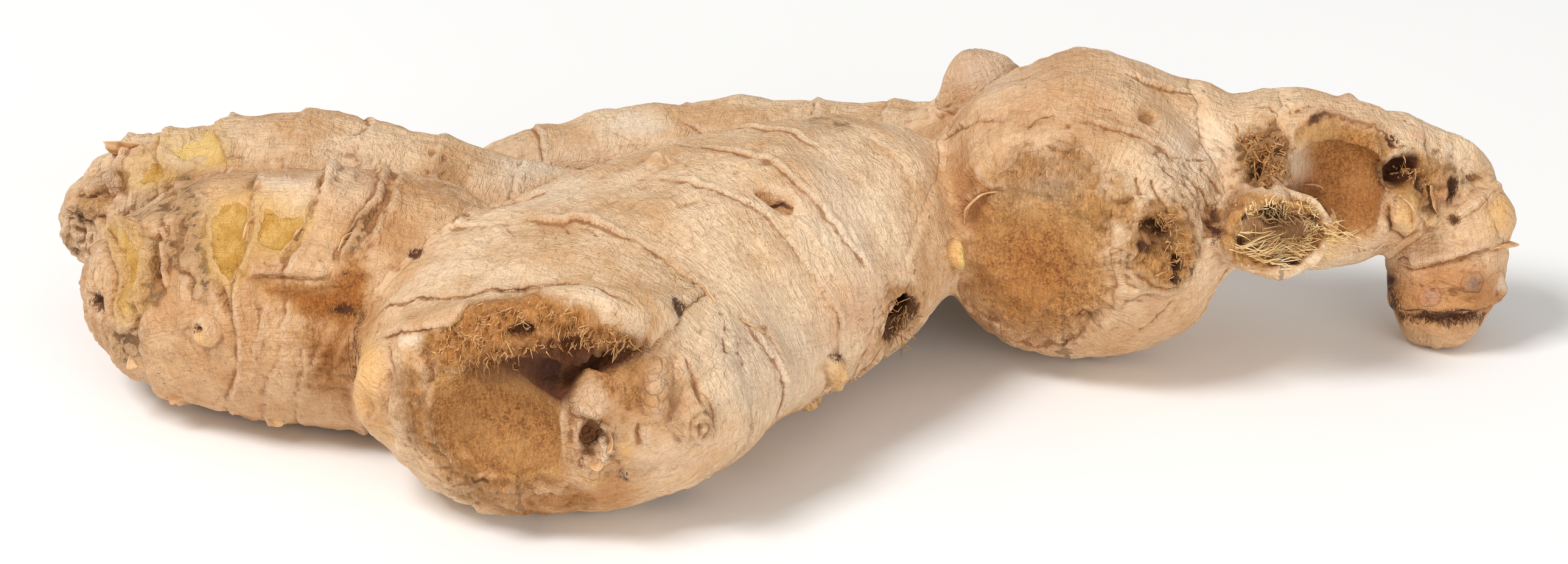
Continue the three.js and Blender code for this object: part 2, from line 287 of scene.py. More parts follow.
LOBES = (
    Lobe("front", ((-28, -36.5, 12.8, 15.5, 11.3), (-26.8, -29, 13.2, 19.6, 12.8),
        (-23.4, -18.5, 14, 22.4, 14.4), (-15.5, -8, 15, 22.3, 14.8), (-5, 0.5, 16, 19, 14.5),
        (5, 8, 16.4, 15, 13.7), (11.5, 15, 16, 11.5, 12.2), (16, 22, 15, 8.5, 10)), (
        Ring(27.6, 3, -3, 0.35, 1, (755, 371, 816, 366, 864, 358, 907, 356, 946, 356, 994, 373, 1037, 392,
            1067, 405, 1119, 423, 1158, 466)),
        Ring(36, 6.5, -1, 0.28, 0.25, (794, 345, 885, 312, 950, 301, 1020, 288, 1059, 284, 1102, 288,
            1158, 306, 1210, 327, 1268, 344, 1286, 369, 1294, 398, 1319, 434, 1348, 456, 1370, 496)),
        Ring(45, 3, -1.5, 0.25, 0.35, (1243, 260, 1283, 285, 1326, 322, 1370, 354, 1377, 380, 1410, 413,
            1443, 442)),
        Ring(51, 1, -2, 0.25, 0.4, (1334, 235, 1377, 260, 1413, 296, 1446, 333, 1464, 358, 1486, 398)),
        Ring(57, 0, -2, 0.25, 0.45, (1399, 202, 1450, 238, 1479, 275, 1501, 311, 1523, 362)),
        Ring(61.5, 0, 0, 0.25, 0.4, (1457, 202, 1493, 224, 1523, 271, 1533, 325)),
    )),
    Lobe("left_near", ((-78, 7, 11.6, 7, 6), (-71, 5, 12, 10.5, 9.4), (-61, 1, 13.3, 13.5, 13),
        (-50, -2, 14.1, 14.5, 14.4), (-39, -4, 13.7, 13.8, 13.2), (-26, -4, 12.4, 12, 11)), (
        Ring(9.5, 0, 2, 0.5, 0.3), Ring(14, 0, 1, 0.6, 0.2),
        Ring(19.5, 0, -1, 0.75, 0.25, (428, 284, 412, 330, 423, 351, 401, 394, 394, 430, 376, 466)),
        Ring(24.3, 0, -0.8, 0.75, 0.25, (537, 284, 519, 323, 505, 369, 480, 401, 466, 444)),
        Ring(29, 0.5, 1, 0.6, 0.25, (623, 309, 580, 380, 555, 416, 551, 448)),
        Ring(34, 0.5, 2, 0.45, 0.2, (640, 337, 609, 394)),
    ), tip_rough=0.9, tan=0.42, crinkle=0.06),
    Lobe("left_far", ((-83, 26, 11, 6, 6), (-76, 25, 11.3, 8.5, 8.5), (-65, 23, 12.3, 11.2, 11.2),
        (-53, 21, 12.7, 12.3, 12.4), (-43, 20, 12, 11.5, 11.8), (-33, 19, 10.4, 10.5, 10.2),
        (-20, 17, 9.3, 10, 9.3), (-4, 13, 12, 10, 10)), (
        Ring(8, 0, 1, 0.4, 0.6), Ring(14, 1.5, 0, 0.35, 0.5),
        Ring(21.5, 1.5, 0, 0.5, 0.2, (344, 198, 362, 232, 384, 269)),
        Ring(29.5, 0, 0, 0.2, 0.3, (487, 187, 491, 223)),
        Ring(35.7, 1, 0, 0.4, 0.15, (609, 201, 580, 226, 594, 262)),
        Ring(42.8, 0, 0, 0.3, 0.2), Ring(52, 0, 1, 0.3, 0.2),
    ), tip_rough=0.8, tan=0.06, crinkle=0.08),
    Lobe("back", ((-39, 38, 8.6, 4.5, 4), (-32, 38, 9, 6.8, 6.4), (-23, 38, 9.8, 8.6, 8.4),
        (-9, 37, 10.8, 9.6, 9.4), (6, 35, 11.3, 9.6, 9.4), (20, 30, 12.5, 10, 10),
        (32, 22, 14, 11, 11)), (
        Ring(11, 1, 0, 0.3, 0.3), Ring(18.5, 2.5, -1.5, 0.3, 0.3),
        Ring(26.5, 3, -1.5, 0.35, 0.45, (968, 189, 1020, 219, 1076, 254)),
        Ring(35, 2, -1, 0.3, 0.35, (1085, 180, 1141, 197, 1167, 219)),
        Ring(43, 2, 0, 0.25, 0.2), Ring(52, 1, 0, 0.2, 0.2),
    )),
    Lobe("saddle", ((-15, 24, 12.5, 6, 6), (-7, 22.5, 14.6, 7, 7), (2, 18, 15, 8, 8), (9, 13, 15, 8, 8))),
    Lobe("web", ((-38, 7.5, 10.5, 6, 7), (-28, 7.5, 11.5, 8, 9.5), (-16, 8, 12, 8, 9))),
    Lobe("middle", ((30, -2, 16.3, 16.5, 14.7), (31.5, 5, 16.9, 16.8, 15.5), (33, 15, 17.2, 17.3, 17.1),
        (33, 25, 17, 15, 15), (31, 33, 16, 12, 12)), (
        Ring(13.5, -1, 0, 0.3, 0.9, (1527, 220, 1574, 206, 1636, 187, 1678, 206, 1711, 192, 1744, 190)),
        Ring(20, 0, 0, 0.3, 0.55, (1518, 211, 1570, 173, 1622, 150, 1688, 117)),
        Ring(26, 0, 0, 0.3, 0.3),
    )),
    Lobe("middle_shoulder", ((53, 17, 22, 8, 8), (44, 18, 22.2, 9, 9.2), (34, 19, 21, 11, 11),
        (26, 20, 19, 10, 10))),
    Lobe("knob", ((21, 34, 29, 4.3, 4.3), (23, 32, 24, 6, 6), (26, 28, 17, 8, 8), (28, 24, 12, 8, 8)), (
        Ring(6.5, 0, 0, 0.2, 0.3),
    )),
    Lobe("right", ((80, 19.4, 19.2, 2.8, 2.8), (74.5, 19.4, 19.4, 5.2, 5.2), (66, 18, 19.6, 7.8, 8.4),
        (59, 17, 19.7, 9.3, 9.6), (51, 17, 19.6, 9.8, 9.7), (40, 17, 19, 10, 10)), (
        Ring(9.5, 0, 0, 0.3, 0.3), Ring(15, 0, 0, 0.25, 0.2),
    )),
    Lobe("right_hanging", ((73.5, 15.3, -0.8, 3.6, 3.8), (74.2, 16.2, 4, 5.5, 5.8),
        (75.2, 17.3, 10, 6.9, 6.9), (74.5, 18.5, 16, 6.2, 6.2), (71, 19, 21, 4.5, 4.5)), (
        Ring(6.2, -1, 0, 0.25, 0.3, (2295, 501, 2332, 518, 2381, 515, 2448, 505)),
        Ring(9.6, -1, -1, 0.15, 0.2, (2315, 462, 2365, 472, 2415, 465, 2448, 452, 2481, 415)),
        Ring(12.8, -1, -1, 0.2, 0.3, (2308, 438, 2365, 432, 2431, 412, 2461, 399)),
    ), tan=0.3),
    Lobe("right_bud", ((82, 16.5, 14.6, 2.6, 2.8), (78, 17.2, 15.5, 3.6, 3.6), (73, 18.5, 17, 4, 4))),
    Lobe("stem_stub", ((54.5, 0.4, 19.8, 6.8, 5.1), (53.6, 4.5, 19.2, 6, 4.8), (51.5, 10, 18.4, 6, 5.2),
        (47, 16, 18, 5.5, 5.5))),
)
SMOOTH_LOBES = ("saddle", "web", "middle_shoulder")  # swells of the skin with no rings of their own
TIP_END = (17.0, 5.0)  # mm from a tip, where its creased skin starts and where it is full


# ---------------------------------------------------------------- marks on the skin


class Mark(Enum):
    """What a patch or line of the skin is."""

    PEELED = "peeled"  # the skin rubbed off, and the yellow flesh shows
    TORN = "torn"  # broken fibrous flesh, dried brown
    STAINED = "stained"  # smooth and brown, as the floor of a healed scar
    CRUMBLY = "crumbly"  # skin that flakes and is full of small pits
    # dark spots: partly grime, partly painted shade in small pits and holes
    DIRT_AND_PIT_SHADE = "dirt_and_pit_shade"
    MOULD = "mould"  # grey-brown specks
    PALE_AND_PAINTED_LIGHT = "pale"  # the skin bleached and dry; in places, as on the back finger, painted light
    WARM = "warm"  # a pink or orange blush
    TAN = "tan"  # the skin browner than elsewhere; in places low down and on the hanging right finger, painted shade
    BUD = "bud"  # yellow-green and smooth
    PAINTED_HOLE_SHADE = "deep"  # painted shade: a dark hole that little light gets into


@dataclass(frozen=True)
class Line:
    """A line on the skin, followed by its pixels: a crack, a ridge or the edge of a scar."""

    trace: Run
    width: float  # mm, to where the line has faded to a third
    height: float = 0.0  # mm; below 0 for a groove
    step: float = 0.0  # mm, how far the skin on the line's left stands out
    dark: float = 0.0  # how strongly the line is coloured, 0 to 1
    ragged: float = 0.3  # mm, how far it strays
    push: tuple[float, float, float] = (0.0, 0.0, 0.0)  # mm, how the edge on its left leans out
    dash: float = 0.0  # mm from one dot of a dotted line to the next


@dataclass(frozen=True)
class Patch:
    """An area of the skin, by the pixels round it."""

    mark: Mark
    outline: Run
    strength: float = 1.0
    lift: float = 0.0  # mm, how far its floor lies above the skin
    ragged: float = 0.5  # mm, how far its edge strays
    soft: float = 0.3  # mm, how wide its edge is
    rough: float = 0.0  # mm, the height of its lumps
    over: bool = False  # it is skin that still lies over a peeled area

    @classmethod
    def oval(cls, mark: Mark, x: float, y: float, half_width: float, half_height: float,
             strength: float = 1.0, soft: float = 0.3, turn: float = 0.0, ragged: float = 0.5,
             lift: float = 0.0, rough: float = 0.0) -> "Patch":
        """A patch with an oval outline.

        Args:
            mark: What it is.
            x: The middle's pixel, counted across.
            y: The middle's pixel, counted down.
            half_width: Half the oval's width in pixels, before it is turned.
            half_height: Half its height in pixels.
            strength: As the patch's own, and so are soft, ragged, lift and rough.
            turn: How far the oval is turned clockwise, in degrees.

        Returns:
            The patch.
        """
        spin = math.radians(turn)
        outline = []
        for angle in np.linspace(0, 2 * math.pi, OVAL_CORNERS, endpoint=False):
            across, down = half_width * math.cos(angle), half_height * math.sin(angle)
            outline.append(x + across * math.cos(spin) - down * math.sin(spin))
            outline.append(y + across * math.sin(spin) + down * math.cos(spin))
        return cls(mark, tuple(outline), strength, lift, ragged, soft, rough)


@dataclass(frozen=True)
class Swell:
    """A rounded rise or dent of the skin."""

    x: float  # pixels
    y: float
    half_width: float
    half_height: float
    height: float  # mm; below 0 for a dent
    turn: float = 0.0  # degrees, clockwise
    flat: float = 1.0  # above 1 for a flatter top with steeper sides


@dataclass(frozen=True)
class Folds:
    """Ridges of skin one round another, as round a bud or a finger's tip."""

    centre: Pixel
    inner: float  # mm from the centre to the first ridge
    outer: float  # mm to the last one
    spacing: float  # mm between two ridges
    height: float  # mm
    squash: float = 1.0  # how much narrower they are across than up and down
    wander: float = 0.5  # mm, how far the ridges stray
    # how dark the troughs between the ridges are painted: painted shade
    dark: float = 0.4


@dataclass(frozen=True)
class Scar:
    """A round mark on a side that the camera does not see."""

    mark: Mark
    at: tuple[float, float, float]  # in the lobes' layout
    radius: float
    rough: float = 0.2


@dataclass(frozen=True)
class Kept:
    """A spot of the solid whose sharp form is kept when the rest is evened out."""

    at: tuple[float, float, float]  # in the lobes' layout
    radius: float
    evening: float = 0.13  # how strongly it is still evened out; 0.5 is full


KEPT = (
    Kept((-29, -36, 17), 12.0, 0.42), Kept((12, -5.6, 13), 4.0),
    Kept((26.6, -2, 18.4), 12.0, 0.32), Kept((41, -1.6, 19), 6.0), Kept((54.5, 2, 19.8), 10.0),
    Kept((61.3, 8.4, 21.8), 11.0), Kept((68.6, 11.5, 22), 5.0), Kept((-79.6, 19.5, 12.5), 5.0),
    Kept((-12, 46, 12), 6.0), Kept((39, 38.5, 18), 7.0),
)

FOLDS = (
    Folds((130, 385), 0.6, 5.0, 1.3, 0.4, 0.7, 0.8, 0.4),
    Folds((1147, 696), 0.4, 3.2, 0.85, 0.4, 0.7, 0.6, 0.35),
    Folds((612, 662), 0.5, 2.6, 0.8, 0.25, 0.5, 0.3, 0.2),
    Folds((1911, 408), 3.6, 6.6, 1.1, 0.3, 1.0, 0.7, 0.2),
    Folds((2310, 350), 1.2, 3.4, 0.9, 0.25, 0.8, 0.3, 0.4),
    Folds((2352, 484), 0.3, 1.3, 0.5, 0.2, 1.0, 0.1, 0.6),
    Folds((2285, 460), 0.3, 1.3, 0.5, 0.18, 0.7, 0.1, 0.6),
    Folds((2415, 460), 0.3, 1.3, 0.5, 0.18, 0.9, 0.1, 0.6),
    Folds((337, 544), 0.7, 2.4, 0.8, 0.25, 1.0, 0.2, 0.2),
    Folds((1886, 186), 0.8, 1.6, 0.6, 0.12, 1.0, 0.1, 0.3),
)

SWELLS = tuple(Swell(*row) for row in (  # a row gives the fields in order
    # the face of the front finger
    (820, 700, 104, 92, -2.2, 8, 1.8), (985, 582, 60, 10, -1.5, -8), (820, 612, 70, 24, -0.9, -24),
    (730, 515, 80, 26, -0.5, -16), (985, 515, 110, 34, 1.5, 10, 1.6), (820, 555, 100, 26, 0.9, -4, 1.3),
    (1000, 628, 66, 52, 2, 10, 1.5), (662, 650, 16, 100, 1.5, 3, 1.3), (702, 605, 9, 34, -1.2, -14),
    (706, 655, 14, 90, 0.7, 6), (924, 705, 10, 66, 1.1, 2), (968, 714, 12, 28, -0.8, 8, 1.2),
    (962, 664, 32, 18, 1, 6, 1.5), (990, 738, 22, 20, 1, 20, 1.4), (612, 655, 32, 80, 0.9, 8, 1.6),
    (610, 664, 12, 26, -0.7), (1077, 636, 24, 44, 1.3, 6, 1.4), (1127, 600, 22, 34, 0.9, 10, 1.4),
    (1140, 697, 30, 40, 1.3, 0, 1.7), (1150, 655, 8, 50, -0.8, -22), (1048, 716, 6, 22, -0.6),
    (1120, 495, 18, 26, -0.7, -20), (1028, 782, 10, 10, 0.8), (970, 792, 30, 22, 0.7, 0, 1.2),
    (1190, 560, 36, 70, 0.5, -14, 1.2), (820, 836, 110, 16, 0.8, 4), (1300, 610, 50, 70, 0.6, 10),
    # the top of the front finger
    (1272, 322, 44, 13, -1.4, 28, 1.3), (1080, 262, 22, 9, 1.1, -10), (1366, 604, 11, 24, 0.9, 0, 1.4),
    (1482, 528, 20, 46, -2.2, 16, 1.3), (1330, 470, 60, 60, -0.7, 20), (820, 437, 7, 6, 0.3),
    # the left fingers
    (382, 395, 30, 70, -0.6, 4, 1.6), (460, 375, 44, 36, -0.6, 0, 1.6), (548, 384, 26, 30, -0.3, 10, 1.4),
    (530, 490, 80, 44, -1.5, 24, 1.4), (554, 513, 16, 12, -0.8), (470, 466, 80, 12, 0.8, -3),
    (337, 546, 26, 26, 1.5, 0, 1.8), (332, 538, 8, 7, -1.3), (364, 490, 9, 28, -1.1, -14),
    (332, 238, 46, 28, -0.5, -20, 1.6), (252, 280, 28, 16, -0.5, 20, 1.5), (150, 345, 34, 30, 1.2),
    (170, 300, 26, 14, 0.8, -20), (120, 420, 22, 34, 0.8), (163, 494, 8, 14, -1.2),
    (270, 330, 24, 20, -0.4), (310, 440, 24, 44, 0.5, 10),
    # the middle
    (1704, 410, 118, 140, -1.1, -8, 2.2), (1710, 430, 90, 100, 0.7, -8), (1574, 416, 11, 24, 1.3, 0, 1.6),
    (1911, 400, 64, 78, 1.3, 0, 1.6), (1896, 372, 29, 18, -2.2, -8, 1.6),
    (1890, 430, 30, 34, 0.5, 0, 1.2), (1927, 430, 7, 16, -1.9, 0, 1.2), (1960, 440, 9, 6, -1.4),
    (1960, 393, 7, 11, -1.5), (1924, 457, 5, 4, -1.2), (1850, 328, 20, 9, -0.8, -16),
    (1886, 187, 17, 10, -1, 12, 1.2), (1795, 524, 28, 10, -0.9, -30),
    # the right finger
    (2205, 300, 82, 92, -1.8, 0, 2.2), (2098, 384, 64, 42, -1.5, 4, 1.8), (2020, 390, 10, 40, 0.8),
    (2176, 370, 8, 44, 0.9, 4), (2180, 200, 60, 12, 0.8, 4), (2308, 275, 28, 17, -1.7, -36, 1.2),
    (2310, 348, 28, 40, 1.2, 0, 1.5), (2350, 360, 10, 10, 0.8, 0, 1.3), (2334, 308, 6, 16, -1.3),
    (2366, 318, 10, 30, 0.8), (2384, 312, 7, 24, -0.9, 10), (2388, 360, 10, 9, -1),
    (2423, 292, 14, 8, -0.9), (2214, 160, 18, 11, 0.9, 10), (2420, 335, 56, 10, 0.9, -40),
    (2380, 520, 80, 11, -0.6, 2, 1.2), (2352, 484, 15, 14, 0.5, 0, 1.4), (2415, 460, 14, 16, 0.5, 0, 1.4),
    (2466, 474, 7, 18, 0.6, 0, 1.2),
))

CRINKLED = (0.3, -0.45)  # width and height of a fine wrinkle

LINES = (
    # the face of the front finger
    Line((616, 520, 640, 507, 663, 497, 690, 487, 730, 483, 780, 478, 800, 472, 863, 468, 930, 467,
        980, 478, 1020, 497, 1053, 512), 0.4, -0.4, 0.45, 0.85, 0.35),
    Line((627, 560, 663, 547, 687, 540, 730, 537, 753, 523, 767, 503, 780, 498,
        817, 492), 0.3, -0.3, 0.35, 0.8, 0.2),
    # the groove under the lip's edge; its dark colour is painted shadow under the overhang
    Line((810, 574, 833, 583, 863, 583, 897, 573, 930, 575, 947, 580, 980, 568, 1007, 562, 1030, 564,
        1057, 568), 0.5, -1.6, 1, 0.9, 0.35, (0, -0.7, -1.1)),
    Line((1057, 568, 1075, 560, 1100, 540, 1120, 517, 1140, 497,
        1165, 470), 0.45, -0.7, 0.8, 0.6, 0.4, (0, -0.3, -0.5)),
    # painted shadow under the lip
    Line((945, 581, 980, 573, 1020, 570, 1060, 572), 0.6, -0.9, 0, 1, 0.2),
    Line((770, 640, 800, 620, 830, 603, 872, 588), 0.4, 0, 0.5, 0.3),
    Line((933, 580, 936, 592, 926, 612, 918, 640), 0.35, 0, -0.8, 0.5, 0.2),
    Line((697, 680, 703, 710, 713, 730, 727, 753, 747, 773, 767, 787, 793, 797, 820, 805, 847, 810,
        880, 812, 917, 806), 0.4, 0.8),
    Line((672, 600, 668, 680, 686, 744, 730, 800, 800, 832, 880, 838), 0.4, 0.6, 0, 0, 0.5),
    Line((692, 575, 700, 600, 708, 628), 0.45, -0.8, 0, 0.9),
    Line((640, 560, 655, 600, 652, 660, 656, 710, 668, 752), 0.25, -0.3, 0, 0.2),
    Line((680, 640, 676, 690, 684, 735, 704, 765), 0.25, -0.3, 0, 0.25, 0.4),
    Line((760, 786, 780, 789, 803, 792), 0.5, -0.3, 0, 0.7),
    Line((866, 796, 890, 800, 912, 799), 0.5, -0.3, 0, 0.6),
    Line((790, 640, 806, 640, 812, 680, 820, 690), 0.18, -0.15, 0, 0.4),
    Line((684, 414, 694, 402, 704, 388), 0.25, -0.2, 0, 0.7, 0.1),
    Line((684, 414, 665, 445, 640, 483), 0.22, -0.15, 0.1, 0.35, 0.1),
    Line((1174, 493, 1205, 512, 1232, 529, 1257, 544, 1272, 580, 1275, 634,
        1264, 689), 0.35, 0.1, 0.35, 0.3, 0.35),
    Line((1127, 587, 1130, 607, 1143, 623, 1160, 653, 1170, 673, 1168, 707), 0.35, -0.6, 0.3, 0.75),
    Line((954, 690, 948, 716, 954, 742), 0.4, 0.9),
    Line((984, 688, 992, 704, 990, 722, 996, 742), 0.4, 1.3, 0, 0, 0.5),
    Line((956, 752, 976, 756, 996, 746), 0.4, 1, 0, 0, 0.4),
    Line((944, 680, 962, 668, 986, 676), 0.4, 0.8),
    Line((1050, 697, 1047, 717, 1053, 733), 0.3, -0.4, 0.3, 0.3),
    Line((1010, 700, 1020, 720, 1014, 745, 1030, 770), 0.3, 0.5, 0.3, 0.2, 0.5),
    Line((1180, 500, 1190, 530, 1186, 560, 1200, 590), *CRINKLED, 0, 0.5, 0.6),
    Line((1210, 530, 1205, 560, 1215, 600), *CRINKLED, 0, 0.4, 0.6),
    Line((1215, 700, 1240, 690, 1252, 660), 0.2, -0.15, 0, 0.3, 0.4),
    Line((1100, 805, 1140, 792, 1180, 776, 1216, 764), 0.35, -0.3, 0.3, 0.5, 0.6),
    Line((1127, 440, 1150, 462, 1174, 486), 0.35, -0.3, 0.4, 0.4, 0.6),
    Line((1240, 308, 1262, 316, 1285, 322, 1310, 338), 0.5, -0.7, 0, 1, 0.2),
    # short cracks under the dark ring
    Line((830, 366, 846, 384), 0.25, -0.2, 0, 0.6, 0.2),
    Line((880, 360, 900, 380), 0.25, -0.2, 0, 0.6, 0.2),
    Line((915, 358, 940, 378), 0.25, -0.2, 0, 0.5, 0.2),
    Line((960, 366, 985, 384), 0.25, -0.2, 0, 0.5, 0.2),
    # the left fingers
    Line((173, 381, 177, 399, 186, 427, 191, 456, 194, 484, 193, 513, 194, 530), 0.6, -1.5, 1.6, 0.9),
    Line((186, 373, 197, 396, 211, 416, 214, 441, 211, 470, 207, 487, 210, 513,
        214, 527), 0.5, -0.8, 1.5, 0.6),
    Line((206, 356, 223, 387, 237, 413, 246, 436, 243, 461, 229, 484, 223, 504), 0.7, 1.6, -0.8, 0.3),
    Line((248, 380, 258, 410, 256, 450, 262, 480, 250, 505), 0.7, -1.6, 0, 0.9, 0.4),
    Line((160, 440, 163, 470, 172, 500, 182, 530), 0.6, -1.4, 1, 0.7),
    Line((271, 396, 271, 427, 269, 456, 266, 480), 0.6, 1.3),
    Line((150, 400, 146, 430, 150, 470, 160, 510), 0.6, -1.2, 0.8, 0.6, 0.4),
    Line((200, 560, 212, 540, 228, 520, 240, 515), 0.6, -1, 0.6, 0.8, 0.5),
    Line((290, 300, 272, 330, 268, 360, 280, 390), 0.6, -0.9, 0.7, 0.5, 0.5),
    Line((300, 350, 292, 390, 300, 430, 318, 460, 322, 500), 0.6, -0.9, 0.7, 0.6, 0.5),
    Line((230, 320, 214, 345, 210, 362), 0.6, -0.8, 0.6, 0.6, 0.5),
    Line((218, 512, 232, 500, 250, 480, 258, 452), 0.4, -0.6, 0.5, 0.6, 0.4),
    Line((317, 307, 334, 330, 340, 356, 346, 399, 340, 413, 349, 433, 363, 456,
        371, 470), 0.4, 0.6, 0.3, 0.2, 0.4),
    Line((371, 473, 380, 464, 391, 444, 386, 433, 397, 416, 400, 399, 409, 376, 411, 356, 417, 336,
        423, 313, 426, 284), 0.4, -0.2, 0.7, 0.6, 0.35),
    Line((459, 441, 463, 433, 460, 419, 466, 399, 486, 384, 497, 370, 509, 347, 514, 330, 529, 304,
        531, 284), 0.4, 0, 0.8, 0.4),
    Line((549, 427, 554, 407, 563, 387, 580, 376, 597, 359, 609, 341, 629, 339), 0.4, -0.3, 0.5, 0.7),
    Line((597, 407, 606, 393, 617, 373, 631, 347), 0.3, 0.4, 0.3, 0.2, 0.2),
    Line((406, 456, 429, 451, 457, 447, 471, 453, 500, 456, 523, 456, 543, 453,
        549, 444), 0.4, -0.1, 0.8, 0.6, 0.25),
    Line((443, 501, 431, 516, 429, 539, 423, 570, 417, 604, 414, 633, 420, 661), 0.3, 0.4, 0, 0.15, 0.2),
    Line((489, 524, 503, 541, 506, 567, 497, 579, 494, 627, 491, 656), 0.35, 0.2, 0.4, 0.3, 0.4),
    Line((317, 499, 300, 527, 289, 564, 271, 581, 269, 599), 0.3, 0.35, 0, 0.15),
    Line((252, 500, 248, 525, 250, 545, 243, 572), 0.3, 0.35, 0, 0.15),
    Line((357, 564, 346, 584, 337, 607, 323, 616), 0.3, 0.35, 0, 0.3),
    Line((359, 473, 366, 495, 376, 516), 0.45, -0.6, 0.4, 1),
    Line((507, 560, 530, 566, 566, 562), 0.3, -0.3, 0, 0.5, 0.5),
    Line((505, 580, 535, 586, 566, 584), 0.3, -0.3, 0, 0.5, 0.5),
    Line((503, 600, 535, 606, 564, 604), 0.3, -0.3, 0, 0.5, 0.5),
    Line((500, 622, 535, 628, 562, 626), 0.3, -0.3, 0, 0.5, 0.5),
    Line((500, 644, 530, 650, 560, 648), 0.3, -0.3, 0, 0.5, 0.5),
    Line((114, 381, 118, 405, 128, 430, 136, 452), 0.6, -1.2, 0.8, 0.9, 0.4),
    Line((137, 370, 134, 395, 139, 420), 0.6, -1, 0.7, 0.8, 0.4),
    Line((126, 330, 146, 318, 172, 312, 196, 314), 0.6, -1.2, 0.8, 0.8, 0.4),
    Line((140, 360, 160, 350, 180, 352), 0.6, -1, 0.6, 0.8, 0.5),
    Line((231, 236, 249, 247, 260, 267, 271, 284), 0.4, 0.4, 0.3, 0.4, 0.4),
    Line((337, 196, 349, 204, 357, 224, 369, 244, 374, 267), 0.35, 0.5, 0.4, 0.25, 0.2),
    Line((609, 201, 591, 221, 580, 241, 586, 259, 597, 276), 0.4, 0.4, 0.3, 0.4, 0.5),
    # the middle
    Line((1643, 306, 1643, 286, 1671, 257, 1700, 246, 1723, 243, 1746, 254, 1774, 240, 1800, 266,
        1806, 283), 0.4, 0, 0.5, 0.55, 0.4),
    Line((1577, 369, 1580, 346, 1600, 323, 1626, 314, 1643, 306), 0.4, -0.2, 0.5, 0.8, 0.2),
    Line((1806, 283, 1803, 303, 1814, 340, 1829, 374, 1829, 400, 1817, 420, 1823, 446, 1834, 474,
        1829, 506, 1814, 523), 0.35, 0, 0.45, 0.4),
    Line((1786, 540, 1757, 563, 1717, 571, 1683, 560, 1649, 546, 1643, 531, 1614, 520, 1597, 506,
        1583, 489, 1571, 471, 1574, 449), 0.4, 0, 0.6, 0.75),
    Line((1824, 406, 1840, 408, 1854, 414), 0.25, -0.3, 0, 0.8, 0.1),
    Line((1825, 408, 1829, 449, 1838, 477), 0.3, -0.3, 0, 0.7, 0.1),
    Line((1769, 529, 1786, 517, 1791, 529, 1803, 534, 1817, 517), 0.4, -0.5, 0, 0.9, 0.2),
    Line((1869, 543, 1889, 529, 1911, 506, 1931, 489), 0.35, -0.5, 0.2, 0.8, 0.2),
    Line((1829, 506, 1851, 491, 1880, 486, 1906, 480), 0.3, -0.2, 0.2, 0.5),
    Line((1871, 288, 1876, 322), 0.4, -0.6, 0.3, 0.8, 0.2),
    Line((1897, 290, 1897, 306, 1911, 334, 1923, 351), 0.4, -0.7, 0.3, 0.8, 0.2),
    Line((1820, 310, 1812, 330), 0.3, -0.4, 0.3, 0.5, 0.2),
    Line((1834, 336, 1850, 334, 1866, 326), 0.35, -0.6, 0.3, 0.9, 0.2),
    Line((1894, 237, 1906, 262, 1930, 290, 1950, 330, 1968, 362), *CRINKLED, 0.2, 0.55, 0.4),
    Line((1925, 252, 1936, 280, 1962, 316, 1980, 352), *CRINKLED, 0.2, 0.55, 0.4),
    Line((1950, 262, 1966, 296, 1986, 326, 1996, 350), *CRINKLED, 0.2, 0.55, 0.4),
    Line((1975, 268, 1990, 296, 2008, 322), *CRINKLED, 0.2, 0.6, 0.4),
    Line((1910, 300, 1930, 312, 1945, 345, 1955, 380), *CRINKLED, 0.2, 0.5, 0.4),
    Line((1936, 280, 1950, 290, 1962, 316), *CRINKLED, 0, 0.4, 0.3),
    Line((1966, 296, 1974, 320, 1980, 352), *CRINKLED, 0, 0.4, 0.3),
    Line((1906, 262, 1918, 268, 1936, 280), *CRINKLED, 0, 0.4, 0.3),
    Line((1943, 189, 1983, 220, 2009, 249, 2028, 262), 0.25, -0.2, 0.15, 0.4),
    Line((1900, 232, 1920, 246, 1960, 262, 2000, 262, 2024, 268), 0.3, -0.2, 0.25, 0.5, 0.4),
    Line((1802, 172, 1826, 178), 0.2, -0.15, 0, 0.7, 0.2),
    Line((1683, 206, 1700, 200, 1711, 194, 1734, 191), 0.35, -0.3, 0.3, 0.9, 0.2),
    Line((2003, 340, 1992, 364, 1990, 400), 0.8, -0.8, 0, 0.8),
    # the right finger
    Line((2088, 203, 2110, 189, 2134, 181, 2153, 175), 0.35, -0.3, 0.3, 0.9, 0.3, dash=0.7),
    Line((2061, 176, 2083, 175, 2099, 189, 2110, 198), 0.3, -0.25, 0.2, 0.7, 0.1),
    Line((2139, 203, 2164, 198, 2188, 194, 2212, 199, 2234, 206, 2256, 214, 2272, 219, 2285, 230,
        2294, 244, 2294, 257), 0.55, -0.3, 0.8, 0.85, 0.25),
    Line((2240, 203, 2268, 214, 2290, 228, 2310, 246), 0.6, -0.4, 0, 0.95, 0.3, dash=0.6),
    Line((2118, 308, 2121, 271, 2127, 244, 2126, 219, 2139, 203), 0.4, 0.4, 0.3, 0.3, 0.2),
    Line((2291, 257, 2285, 281, 2275, 303, 2266, 319, 2264, 346, 2261, 389), 0.4, 0.3, 0.4, 0.2, 0.2),
    Line((2188, 393, 2212, 393, 2234, 388, 2247, 382), 0.5, -0.4, 0, 1, 0.15),
    Line((2178, 408, 2220, 409, 2286, 405), 0.45, -0.3, 0, 1, 0.1, dash=0.5),
    Line((2283, 330, 2280, 357, 2291, 379, 2310, 389, 2329, 381), 0.4, -0.4, 0, 0.8, 0.2),
    Line((2304, 198, 2329, 211, 2356, 238), 0.25, -0.2, 0.2, 0.6, 0.2),
    Line((2464, 306, 2439, 325, 2423, 346, 2400, 364, 2385, 372), 0.35, 0.1, 0.5, 0.5, 0.2),
